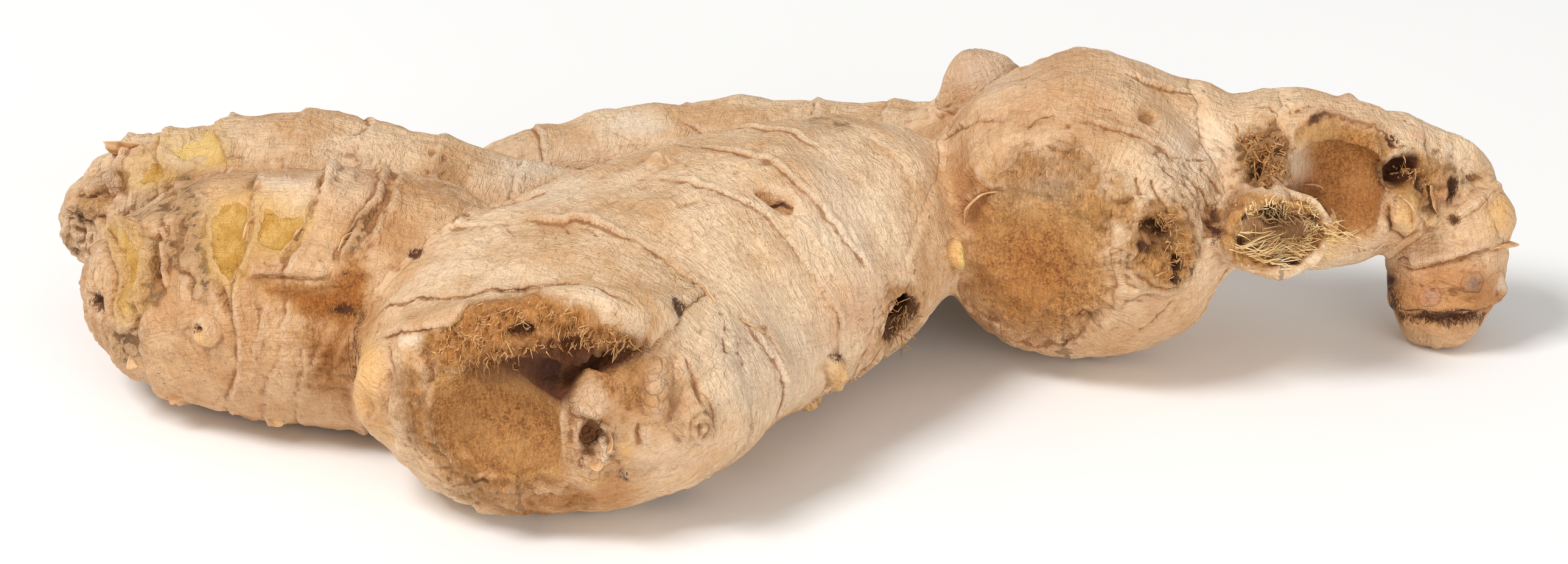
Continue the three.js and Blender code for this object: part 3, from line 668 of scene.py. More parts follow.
    Line((2302, 441, 2331, 439, 2364, 433, 2391, 426, 2429, 414), 0.3, -0.3, 0.3, 0.8, 0.15),
    Line((2318, 463, 2329, 468, 2358, 462, 2391, 468, 2402, 465), 0.25, -0.2, 0.1, 0.6, 0.2),
    Line((2302, 506, 2331, 511, 2358, 514, 2399, 508, 2456, 500), 0.4, -0.4, 0.3, 0.9, 0.2),
    Line((2320, 521, 2358, 533, 2399, 526, 2450, 510), 0.45, -0.5, 0, 0.9, 0.2),
    Line((2276, 448, 2296, 448, 2302, 462, 2292, 474, 2278, 472, 2272, 460,
        2276, 448), 0.45, 0.45, 0, 0.8, 0.15),
    Line((2338, 472, 2356, 466, 2370, 480, 2362, 498, 2342, 500, 2332, 486,
        2338, 472), 0.45, 0.4, 0, 0.5, 0.15),
    Line((2404, 448, 2424, 446, 2432, 460, 2424, 476, 2406, 476, 2398, 462,
        2404, 448), 0.45, 0.45, 0, 0.7, 0.15),
    Line((2452, 452, 2466, 444, 2474, 466, 2470, 490, 2456, 490), 0.45, 0.4, 0, 0.6, 0.15),
    Line((2290, 424, 2340, 430, 2400, 420, 2450, 408, 2478, 392), 0.35, -0.3, 0.3, 0.8, 0.5),
)

OUTLINED = (
    # the face of the front finger
    Patch(Mark.TAN, (640, 545, 663, 500, 730, 486, 800, 474, 817, 492, 767, 503, 753, 523, 730, 537,
        687, 541), 0.3, soft=0.5, ragged=0.2),
    Patch(Mark.TORN, (767, 503, 807, 495, 833, 484, 880, 481, 900, 500, 933, 512, 967, 520, 997, 535,
        1020, 548, 1060, 564, 1013, 560, 980, 566, 947, 580, 913, 573, 873, 582, 827, 583, 793, 603,
        767, 612, 740, 603, 712, 590, 697, 577, 697, 550, 727, 541, 750, 532), 1, 0.1, ragged=0.5),
    Patch(Mark.STAINED, (925, 600, 1000, 570, 1060, 572, 1082, 596, 1072, 640, 1062, 680, 1030, 700,
        1000, 660, 980, 642, 940, 650), 0.75, soft=1.8, ragged=1),
    Patch(Mark.STAINED, (650, 560, 700, 570, 712, 660, 740, 760, 860, 812, 960, 806, 1000, 850, 860, 864,
        740, 820, 670, 740, 646, 660), 0.6, soft=2.2, ragged=1.6),
    Patch(Mark.TORN, (664, 590, 700, 600, 708, 680, 740, 762, 860, 806, 960, 806, 980, 836, 860, 852,
        750, 816, 690, 750, 664, 670), 0.5, soft=1, ragged=1.2),
    Patch(Mark.STAINED, (693, 590, 740, 605, 793, 606, 830, 600, 873, 597, 933, 590, 1000, 572, 1060, 575,
        1050, 600, 1010, 640, 980, 640, 935, 640, 920, 680, 925, 740, 930, 800, 870, 812, 800, 798,
        740, 768, 705, 720, 694, 660), 0.9, soft=1, ragged=0.6),
    Patch(Mark.TAN, (650, 620, 690, 600, 940, 640, 1000, 660, 1010, 800, 930, 840, 800, 850, 700, 800,
        660, 740), 0.45, soft=3),
    Patch(Mark.TAN, (700, 560, 770, 500, 880, 480, 1040, 556, 960, 580, 880, 590, 780, 606,
        710, 596), 0.5, soft=0.6),
    # painted shade in the cavity under the lip
    Patch(Mark.PAINTED_HOLE_SHADE, (780, 612, 840, 585, 900, 575, 1000, 568, 1045, 575, 960, 600, 930, 650, 890, 650,
        850, 630, 800, 632), 1.1, soft=2.2),
    Patch(Mark.PAINTED_HOLE_SHADE, (862, 590, 900, 578, 960, 574, 1020, 572, 950, 596, 928, 630, 905, 640,
        876, 622), 2.6, soft=1.6),
    Patch(Mark.DIRT_AND_PIT_SHADE, (1107, 478, 1118, 484, 1130, 500, 1132, 512, 1118, 512, 1112, 498), 0.9, soft=0.2),
    Patch(Mark.CRUMBLY, (930, 663, 940, 650, 963, 647, 990, 653, 996, 680, 1003, 720, 1015, 760, 990, 800,
        950, 790, 930, 740, 922, 700), 0.8, soft=0.6),
    Patch(Mark.CRUMBLY, (1107, 570, 1150, 560, 1180, 500, 1240, 536, 1266, 580, 1230, 640, 1180, 640,
        1150, 620, 1120, 620), 0.55, soft=1.2),
    Patch(Mark.CRUMBLY, (1060, 420, 1120, 430, 1165, 465, 1150, 485, 1100, 520, 1080, 490,
        1100, 460), 0.8, soft=0.8),
    # the left fingers
    Patch(Mark.PEELED, (366, 339, 380, 333, 403, 336, 407, 341, 403, 370, 399, 399, 394, 421, 386, 444,
        374, 464, 363, 447, 354, 427, 349, 404, 346, 370, 351, 353), 1, -0.3, ragged=0.25),
    Patch(Mark.PEELED, (434, 341, 466, 353, 483, 356, 500, 353, 497, 370, 486, 384, 466, 396, 457, 407,
        437, 404, 417, 396, 423, 376, 431, 356), 1, -0.3, ragged=0.25),
    Patch(Mark.PALE_AND_PAINTED_LIGHT, (426, 299, 457, 296, 494, 296, 517, 307, 514, 330, 500, 350, 483, 356, 466, 350,
        443, 339, 423, 341), 0.9, soft=0.6, ragged=0.6),
    Patch(Mark.BUD, (340, 310, 410, 300, 517, 300, 520, 340, 480, 360, 420, 350,
        350, 345), 0.55, soft=0.8, ragged=0.6),
    Patch(Mark.PEELED, (271, 239, 300, 224, 337, 208, 351, 209, 360, 230, 366, 244, 372, 266, 357, 271,
        334, 271, 317, 266, 300, 258, 286, 250), 1, -0.3, ragged=0.25),
    Patch(Mark.PALE_AND_PAINTED_LIGHT, (303, 256, 317, 251, 343, 254, 337, 264, 314, 273,
        306, 267), 1, 0.25, ragged=0.15, soft=0.1, over=True),
    Patch(Mark.PALE_AND_PAINTED_LIGHT, (271, 239, 290, 222, 330, 205, 330, 214, 306, 226,
        290, 240), 0.9, 0.2, ragged=0.2, soft=0.2, over=True),
    Patch(Mark.PEELED, (226, 276, 243, 261, 254, 261, 266, 273, 280, 287, 254, 293, 234, 301,
        223, 293), 1, -0.3, ragged=0.25),
    Patch(Mark.PALE_AND_PAINTED_LIGHT, (222, 290, 224, 272, 240, 258, 246, 262, 232, 276,
        230, 292), 1, soft=0.2, ragged=0.2, over=True),
    Patch(Mark.PEELED, (186, 381, 206, 379, 219, 390, 228, 407, 233, 433, 228, 459, 222, 484, 225, 501,
        217, 513, 212, 507, 208, 487, 215, 470, 214, 441, 200, 416), 1, -0.2, ragged=0.2),
    Patch(Mark.STAINED, (409, 459, 540, 459, 551, 444, 571, 421, 597, 421, 614, 444, 609, 479, 597, 510,
        586, 541, 571, 570, 546, 541, 509, 530, 483, 513, 457, 499,
        420, 481), 1, -0.2, ragged=0.8, soft=1.2),
    Patch(Mark.TAN, (409, 459, 540, 459, 571, 421, 614, 444, 597, 510, 571, 570,
        483, 513), 1.1, soft=1.5),
    Patch(Mark.STAINED, (494, 527, 529, 541, 569, 541, 590, 550, 574, 599, 569, 639, 569, 661, 529, 656,
        494, 639, 509, 599, 500, 564), 0.85, ragged=1.2, soft=1.5),
    Patch(Mark.MOULD, (243, 387, 257, 393, 257, 427, 251, 456, 260, 479, 249, 499, 229, 513, 220, 507,
        234, 479, 243, 456, 249, 427), 1.3, soft=0.5, rough=0.3),
    Patch(Mark.MOULD, (186, 539, 226, 539, 229, 564, 214, 590, 200, 581,
        191, 561), 1.3, soft=0.5, rough=0.3),
    Patch(Mark.MOULD, (206, 340, 230, 312, 258, 305, 262, 330, 240, 352,
        212, 356), 0.9, soft=1, rough=0.15),
    Patch(Mark.MOULD, (262, 300, 320, 279, 330, 290, 310, 330, 332, 386, 300, 380, 280, 350,
        262, 352), 1.2, soft=1.2, rough=0.2),
    Patch(Mark.MOULD, (280, 395, 340, 400, 346, 440, 346, 496, 322, 480, 300, 440,
        280, 430), 1.2, soft=1, rough=0.2),
    Patch(Mark.MOULD, (403, 330, 412, 300, 426, 284, 426, 300, 418, 330), 0.9, soft=0.4),
    # the back finger
    Patch(Mark.PALE_AND_PAINTED_LIGHT, (985, 200, 1030, 184, 1090, 190, 1102, 210, 1060, 223, 1010, 215), 0.9, soft=0.8),
    # the middle
    Patch(Mark.STAINED, (1643, 306, 1643, 286, 1671, 257, 1700, 246, 1746, 254, 1774, 240, 1806, 283,
        1803, 303, 1814, 340, 1829, 374, 1829, 400, 1817, 420, 1834, 474, 1829, 506, 1786, 540, 1757, 563,
        1717, 571, 1649, 546, 1614, 520, 1583, 489, 1571, 471, 1583, 417, 1577, 369,
        1600, 323), 0.85, -0.3, ragged=0.7, soft=1.3),
    Patch(Mark.TORN, (1643, 306, 1643, 286, 1671, 257, 1700, 246, 1746, 254, 1774, 240, 1806, 283,
        1803, 303, 1810, 340, 1800, 370, 1770, 350, 1750, 330, 1700, 320,
        1660, 330), 0.85, soft=1.6, ragged=1.4, rough=0.2),
    Patch(Mark.STAINED, (1824, 406, 1854, 414, 1866, 471, 1837, 477,
        1829, 449), 0.45, -0.15, ragged=0.1, soft=0.2),
    Patch(Mark.CRUMBLY, (1889, 277, 1894, 237, 1929, 256, 1969, 268, 2012, 300, 2004, 346, 1986, 400,
        1969, 383, 1929, 340, 1906, 306), 0.55, soft=0.8),
    # the stub and the right finger
    Patch(Mark.TORN, (2042, 322, 2102, 322, 2153, 314, 2172, 320, 2172, 336, 2182, 350, 2182, 372,
        2170, 404, 2140, 418, 2088, 436, 2050, 440, 2029, 440, 2015, 420, 2006, 395, 2008, 362,
        2024, 338), 0.9, soft=0.5, rough=0.35),
    Patch(Mark.STAINED, (2118, 308, 2121, 271, 2127, 244, 2126, 219, 2139, 203, 2188, 194, 2234, 206,
        2272, 219, 2294, 244, 2291, 257, 2285, 281, 2266, 319, 2261, 373, 2250, 388, 2188, 393,
        2150, 392), 1, -0.4, ragged=0.2, soft=0.3),
    Patch(Mark.DIRT_AND_PIT_SHADE, (2294, 262, 2329, 259, 2323, 271, 2304, 287, 2277, 304, 2283, 289,
        2291, 273), 0.75, -0.5, soft=0.5, rough=0.5),
)

OVALS = {  # x, y, half width, half height, strength, soft, turn, ragged, lift and rough
    # some of these, low on the front finger and the middle and on the hanging right finger, are painted
    # shade
    Mark.TAN: (
        (300, 400, 70, 90, 0.55, 2.5, 10), (560, 560, 70, 130, 0.8, 3), (930, 826, 120, 36, 1, 3, -10),
        (1040, 640, 90, 80, 0.55, 3), (1090, 775, 110, 26, 0.3, 3, -14), (1690, 460, 90, 100, 0.7, 3, -8),
        (1720, 190, 190, 80, 0.35, 4, 4), (1740, 540, 180, 50, 0.25, 3), (1800, 450, 60, 60, 0.4, 3, -8),
        (1860, 545, 110, 40, 0.7, 3, -20), (2150, 195, 120, 34, 0.2, 2, 4), (2225, 300, 64, 96, 0.6, 1),
        (2380, 490, 110, 64, 0.85, 1, -6), (2450, 350, 34, 50, 0.3, 1),
    ),
    Mark.WARM: (
        (197, 311, 16, 6, 0.9, 0.4), (608, 660, 18, 36, 0.5, 1), (1420, 505, 60, 50, 0.5, 3, 20),
        (1600, 110, 50, 50, 0.4, 2), (1700, 160, 120, 50, 0.25, 4), (2140, 312, 34, 8, 1, 0.4, -6),
        (2212, 160, 14, 8, 1.5), (2329, 223, 5, 4, 1.5, 0.1, 0, 0.1),
        (2352, 484, 13, 12, 1.7, 0.2, 0, 0.1), (2366, 320, 8, 26, 0.8, 0.4),
        (2380, 450, 90, 34, 0.3, 1.5, -6),
    ),
    # some of these, as on the back finger and the knob, are painted light
    Mark.PALE_AND_PAINTED_LIGHT: (
        (130, 395, 44, 50, 0.6, 3), (320, 240, 56, 36, 1, 0.6, -20), (560, 290, 70, 50, 0.5, 3),
        (655, 660, 7, 90, 0.5, 0.6, 3), (675, 558, 16, 12, 0.9), (720, 420, 60, 40, 0.4, 3),
        (880, 275, 90, 50, 0.7, 3), (965, 662, 26, 14, 0.3, 0.4, 10), (996, 734, 12, 28, 0.6, 0.5, 10),
        (1070, 620, 18, 26, 0.4, 0.6, 10), (1120, 740, 90, 40, 0.5, 3, -20),
        (1230, 330, 70, 60, 0.3, 4, -25), (1270, 590, 150, 130, 0.55, 5, 20),
        (1390, 350, 80, 130, 0.6, 4, -25), (1615, 120, 60, 50, 0.6, 2), (1690, 575, 110, 30, 0.4, 3),
        (1722, 300, 80, 50, 0.5, 2.5, -6), (1900, 530, 70, 60, 0.3, 3, -20),
        (1960, 250, 80, 60, 0.65, 3, 40), (2090, 380, 66, 44, 0.4, 1, 4), (2140, 275, 17, 36, 1.2, 0.9),
        (2260, 425, 90, 22, 0.6, 1.5, -6), (2354, 482, 5, 4, 1, 0.1, 0, 0.1),
        (2390, 260, 70, 60, 0.35, 3, 30), (2415, 461, 5, 6, 1.2, 0.1, 0, 0.1),
        (2466, 474, 6, 17, 0.9, 0.2),
    ),
    Mark.DIRT_AND_PIT_SHADE: (
        (150, 350, 24, 20, 0.45, 1, 20, 1.2), (163, 494, 6, 14, 0.9, 0.3, -10),
        (329, 537, 5, 4, 0.9, 0.3, 0, 0.1, -0.3), (558, 514, 16, 8, 0.8, 0.8, 10, 0.8),
        (572, 450, 12, 10, 0.6, 0.8, 10, 0.8), (584, 575, 9, 60, 0.7, 1, 6),
        (684, 414, 10, 6, 0.8, 0.2, 0, 0.5, -0.3), (836, 848, 40, 8, 0.55, 0.8, 4, 1),
        (855, 542, 24, 5, 0.8, 0.4, -6, 0.5, -1.1), (859, 234, 7, 4, 0.7, 0.2),
        (980, 716, 3, 14, 0.5, 0.2, 10), (1028, 784, 7, 7, 0.6), (1366, 582, 8, 5, 0.8, 0.3, 0, 0.1),
        (1482, 528, 18, 44, 0.9, 0.3, 15, 0.5, -0.8), (1720, 176, 5, 4, 0.6, 0.2),
        (1792, 526, 22, 8, 0.5, 0.5, -20), (1862, 139, 16, 4, 0.5, 0.3, 10, 0.8), (1872, 402, 6, 12, 0.9),
        (1896, 369, 25, 12, 0.9, 0.4, -8), (1924, 457, 5, 4, 1, 0.1), (1927, 430, 7, 15, 1, 0.2),
        (1960, 393, 6, 11, 1, 0.2), (1960, 440, 9, 6, 1, 0.2), (1995, 372, 9, 34, 0.6, 1),
        (2046, 395, 8, 7, 1, 0.2, 0, 0.5, -0.6), (2053, 360, 5, 5, 1, 0.1, 0, 0.5, -0.6),
        (2090, 366, 12, 5, 0.8, 0.2, 10, 0.5, -0.6), (2110, 428, 22, 8, 0.8, 0.4, -14),
        (2172, 354, 3, 12, 0.9, 0.2, 6), (2285, 460, 4, 7, 0.8, 0.2, 0, 0.1),
        (2298, 500, 12, 34, 0.6, 0.8, -20), (2334, 308, 5, 13, 0.9, 0.2), (2380, 520, 80, 11, 0.75, 0.4),
        (2384, 314, 6, 22, 0.9, 0.3, 8), (2388, 360, 9, 8, 0.7, 0.4), (2423, 292, 11, 6, 0.6, 0.4),
    ),
    # painted shade in holes and pits
    Mark.PAINTED_HOLE_SHADE: (
        (948, 560, 26, 9, 1, 0.6, -6, 0.5, -0.8), (968, 716, 13, 32, 0.8, 0.5, 4),
        (1112, 676, 8, 40, 0.5, 0.7, 4), (1164, 690, 6, 34, 0.55, 0.6, 4),
        (1900, 384, 44, 34, 0.6, 1, -8), (2116, 366, 30, 10, 0.7, 0.5, 10, 0.5, -0.4),
        (2285, 460, 12, 16, 0.9, 0.2, 0, 0.1), (2308, 276, 27, 15, 1.8, 0.5, -36),
        (2345, 312, 16, 30, 0.6, 0.8, 10, 0.5, 0.0, 0.5), (2352, 484, 19, 17, 0.4, 0.2, 0, 0.1),
        (2415, 460, 13, 15, 0.7, 0.2, 0, 0.1),
    ),
    Mark.CRUMBLY: (
        (440, 239, 18, 7, 0.8, 0.6, 8, 0.6), (520, 250, 60, 18, 0.6, 1.2, 8, 1.2),
        (680, 660, 18, 90, 0.5, 0.8, 4), (1015, 540, 44, 20, 0.6, 0.8, 20),
        (1080, 636, 32, 46, 0.9, 0.7, 6), (1190, 782, 34, 12, 1, 0.5, -12, 0.5, 0.0, 0.4),
        (1793, 207, 32, 13, 0.5, 0.8, 6),
    ),
    Mark.STAINED: (
        (124, 412, 20, 50, 0.8, 0.8, -14, 0.5, 0.0, 0.5),
        (156, 346, 36, 30, 0.9, 0.8, -20, 0.5, 0.0, 0.5), (612, 664, 14, 32, 0.8, 0.5, 0, 0.5, 0.0, 0.3),
        (800, 836, 120, 24, 0.5, 1.5, 6, 1.5), (1136, 694, 26, 40, 0.55, 1.2),
        (1440, 560, 34, 30, 0.5, 1.5, -30, 1.2), (1740, 575, 90, 16, 0.5, 1.5, -4, 1.2),
        (1886, 187, 14, 9, 1, 0.3, 10, 0.5, -0.3),
    ),
    Mark.BUD: (
        (278, 320, 16, 12, 0.6, 0.5, 10), (338, 552, 19, 15, 0.8, 0.3, 0, 0.2),
        (545, 384, 24, 20, 0.45, 1, 10), (610, 620, 26, 60, 0.85, 1.4, 8),
        (630, 712, 18, 44, 0.62, 1.2, -14), (976, 788, 16, 12, 0.7, 0.4),
        (1026, 742, 14, 18, 0.7, 0.4, 10), (1134, 732, 14, 8, 0.8, 0.4),
        (1366, 606, 12, 24, 1, 0.3, 0, 0.1, 0.4), (1574, 416, 11, 24, 1.3, 0.3, 0, 0.05, 0.4),
        (2036, 400, 22, 40, 0.5, 1), (2090, 404, 50, 22, 0.45, 1, 10),
        (2308, 350, 26, 34, 0.7, 0.3, 0, 0.5, 0.2), (2350, 360, 8, 8, 1, 0.3, 0, 0.1, 0.2),
        (2375, 560, 60, 26, 0.26, 0.3, -6), (2462, 355, 26, 36, 0.7),
    ),
    Mark.MOULD: (
        (182, 297, 24, 11, 1.3, 0.4, -6, 0.5, 0.0, 0.3), (596, 372, 14, 44, 0.8, 0.5, 36, 0.5, 0.0, 0.15),
        (1060, 770, 26, 12, 0.5, 0.8, -10), (1365, 204, 40, 10, 0.8, 0.8, 4),
        (1764, 147, 12, 8, 0.8, 0.5, 10), (2076, 260, 36, 44, 1, 0.6, 10),
    ),
    Mark.TORN: (
        (740, 300, 44, 30, 0.5, 1.5, 30, 1.5), (1478, 520, 32, 56, 0.8, 0.6, 15),
        (1842, 330, 26, 50, 0.6, 1.2, -20, 1.2), (1911, 400, 58, 72, 0.85, 1, 0, 0.5, 0.0, 0.2),
        (2076, 260, 40, 48, 1, 0.6, 10, 0.5, 0.0, 0.9), (2336, 296, 62, 50, 0.75, 0.8, 10, 0.5, 0.0, 0.6),
    ),
}
PATCHES = OUTLINED + tuple(Patch.oval(mark, *row) for mark, rows in OVALS.items() for row in rows)


SCARS = (
    Scar(Mark.TORN, (-12, 46, 12), 5.0, 0.5),
    Scar(Mark.STAINED, (-12, 46, 12), 7.0),
    Scar(Mark.TORN, (39, 38.5, 18), 5.6, 0.5),
    Scar(Mark.STAINED, (39, 38.5, 18), 7.6),
    Scar(Mark.STAINED, (-79.6, 19.5, 12.5), 4.0, 0.5),
)
STRAY_MARKS = (  # how many of each kind are strewn over the unseen sides, and their radii in mm
    (Mark.PEELED, 5, 2.0, 4.0),
    (Mark.PALE_AND_PAINTED_LIGHT, 14, 3.0, 8.0),
    (Mark.TAN, 16, 3.0, 9.0),
    (Mark.CRUMBLY, 8, 2.5, 5.0),
    (Mark.MOULD, 6, 2.0, 4.0),
    (Mark.STAINED, 6, 1.5, 3.0),
    (Mark.BUD, 4, 0.8, 1.3),
    (Mark.DIRT_AND_PIT_SHADE, 10, 0.4, 0.8),
)


class Surface:
    """The skin's points, with what has been worked out for each."""

    def __init__(self, mesh: bpy.types.Mesh, camera: StudioCamera) -> None:
        """Reads a mesh.

        Args:
            mesh: A closed mesh in metres.
            camera: The camera whose pixels the marks are given in.
        """
        count = len(mesh.vertices)
        flat = np.empty(count * 3, np.float32)
        mesh.vertices.foreach_get("co", flat)
        self.places = flat.reshape(-1, 3).astype(float) / MM
        mesh.vertex_normals.foreach_get("vector", flat)
        self.normals = flat.reshape(-1, 3).astype(float)
        pairs = np.empty(len(mesh.edges) * 2, np.int32)
        mesh.edges.foreach_get("vertices", pairs)
        self.edges = pairs.reshape(-1, 2)
        self.camera = camera
        self.pixels = camera.project(self.places)
        self.lift = np.zeros(count)
        self.shift = np.zeros((count, 3))
        self.fields: dict[str, Array] = {mark.value: np.zeros(count) for mark in Mark}
        self.fields["peeled"] += NOT_PEELED
        self.fields["ring"] = np.full(count, NO_RING)
        self.fields["crack"] = np.full(count, NO_CRACK)
        self.fields["shelter"] = np.zeros(count)
        shelter = mesh.attributes.get("shelter")
        if shelter:
            values = np.empty(count, np.float32)
            shelter.data.foreach_get("value", values)
            self.fields["shelter"] = values.astype(float)
        self.fields["crack_dark"] = np.zeros(count)

    def spread(self, values: Array, rounds: int, factor: float | Array = 0.5) -> Array:
        """Evens values out over neighbouring points.

        Args:
            values: One number or one row a point.
            rounds: How often each point moves towards its neighbours' mean.
            factor: How far it moves, for all or for each point.

        Returns:
            The evened values.
        """
        a, b = self.edges.T
        degree = np.bincount(a, minlength=len(self.places)) + np.bincount(b, minlength=len(self.places))
        table = values.reshape(len(values), -1).astype(float)
        part = np.asarray(factor)[..., None] if np.ndim(factor) else factor
        for _ in range(rounds):
            mean = np.column_stack([
                (np.bincount(a, column[b], len(column)) + np.bincount(b, column[a], len(column))) / degree
                for column in table.T])
            table = table + part * (mean - table)
        return table.reshape(values.shape)

    def moved(self) -> Array:
        """Where the points are once they are lifted and pushed."""
        return self.places + self.normals * self.lift[:, None] + self.shift

    def raise_field(self, name: str, weight: Array, picked: Array | slice = slice(None)) -> None:
        """Makes a field at least as strong as a weight."""
        now = self.fields[name][picked]
        self.fields[name][picked] = np.maximum(now, weight)


class Sight:
    """What the camera sees of an object."""

    def __init__(self, obj: bpy.types.Object, camera: StudioCamera) -> None:
        """Sorts the object's mesh for casting rays at it.

        Args:
            obj: The object.
            camera: The camera.
        """
        self.tree = BVHTree.FromObject(obj, bpy.context.evaluated_depsgraph_get())
        self.camera = camera
        self.origin = Vector(camera.eye * MM)

    def seen(self, surface: Surface) -> Array:
        """How well each point of a surface is seen, from 0 hidden to 1 face on.

        Args:
            surface: The points.

        Returns:
            One number a point.
        """
        away = unit(self.camera.eye - surface.places)
        facing = (away * surface.normals).sum(1)
        shown = np.zeros(len(facing))
        slack = 1.2 * MM
        for i in np.flatnonzero(facing > 0.02):
            line = Vector(surface.places[i] * MM) - self.origin
            shown[i] = self.tree.ray_cast(self.origin, line, line.length - slack)[0] is None
        return shown * smooth_step(0.02, 0.3, facing)

    def shelter(self, surface: Surface, rays: int = 12, reach: float = 14.0) -> Array:
        """How much of what lies round each point is near skin, from 0 open to 1 shut in.

        Args:
            surface: The points.
            rays: How many directions are tried.
            reach: How far skin counts as near, in mm.

        Returns:
            One number a point.
        """
        draw = np.random.default_rng(7)
        spread = unit(draw.normal(0, 1, (rays, 3)))
        total = np.zeros(len(surface.places))
        for i, (place, normal) in enumerate(zip(surface.places, surface.normals)):
            start = Vector((place + 0.3 * normal) * MM)
            for heading in unit(normal + 0.95 * spread):
                total[i] += self.tree.ray_cast(start, Vector(heading), reach * MM)[0] is not None
        return total / rays

    def spot(self, pixel: Pixel) -> tuple[Array, Array] | None:
        """The place on the object behind a pixel and the skin's direction there, or None."""
        place, normal, _, _ = self.tree.ray_cast(self.origin, Vector(self.camera.ray(pixel)))
        return None if place is None else (np.array(place) / MM, np.array(normal))

    def trace(self, pixels: Run, step: float = 6.0) -> tuple[Array, Array]:
        """Lays a line of pixels on the object.

        Args:
            pixels: The line's corners.
            step: The gap between two points of the result, in pixels.

        Returns:
            The places on the object and the skin's direction at each. Pixels that miss are left out.
        """
        corners = np.reshape(pixels, (-1, 2)).astype(float)
        spots = [corners[-1]]
        for end, start in zip(corners[:0:-1], corners[-2::-1]):
            count = max(1, int(np.linalg.norm(end - start) / step))
            spots += [start + (end - start) * k / count for k in reversed(range(count))]
        found = [hit for hit in map(self.spot, reversed(spots)) if hit]
        return np.array([hit[0] for hit in found]), np.array([hit[1] for hit in found])


def distance_to_line(points: Array, normals: Array, line: Array) -> tuple[Array, Array]:
    """How far points lie from a line of short pieces.

    Args:
        points: The places.
        normals: The skin's outward direction at each.
        line: The line's points in order.

    Returns:
        For each point its distance, below 0 on the line's right seen from outside, and how far
        along the line its nearest place is, from 0 to 1.
    """
    best = np.full(len(points), 1e9)
    side = np.zeros(len(points))
    share = np.zeros(len(points))
    total = len(line) - 1
    for i in range(total):
        start, along = line[i], line[i + 1] - line[i]
        away = points - start
        t = np.clip(away @ along / max(along @ along, 1e-9), 0, 1)
        off = away - t[:, None] * along
        gap = np.linalg.norm(off, axis=1)
        near = gap < best
        best[near] = gap[near]
        side[near] = np.sign((np.cross(along, off[near]) * normals[near]).sum(1))
        share[near] = (i + t[near]) / total
    return best * np.where(side == 0, 1, side), share


def distance_in_outline(points: Array, outline: Array) -> Array:
    """How deep points lie in an outline, below 0 outside, in the outline's units.

    Args:
        points: Places in the plane.
        outline: The outline's corners in order.

    Returns:
        One number a point.
    """
    best = np.full(len(points), 1e9)
    inside = np.zeros(len(points), bool)
    for start, end in zip(outline, np.roll(outline, -1, axis=0)):
        along = end - start
        away = points - start
        t = np.clip(away @ along / max(along @ along, 1e-9), 0, 1)
        best = np.minimum(best, np.linalg.norm(away - t[:, None] * along, axis=1))
        crosses = (start[1] > points[:, 1]) != (end[1] > points[:, 1])
        level = start[0] + (points[:, 1] - start[1]) * along[0] / (along[1] if along[1] else 1e-9)
        inside ^= crosses & (points[:, 0] < level)
    return np.where(inside, best, -best)


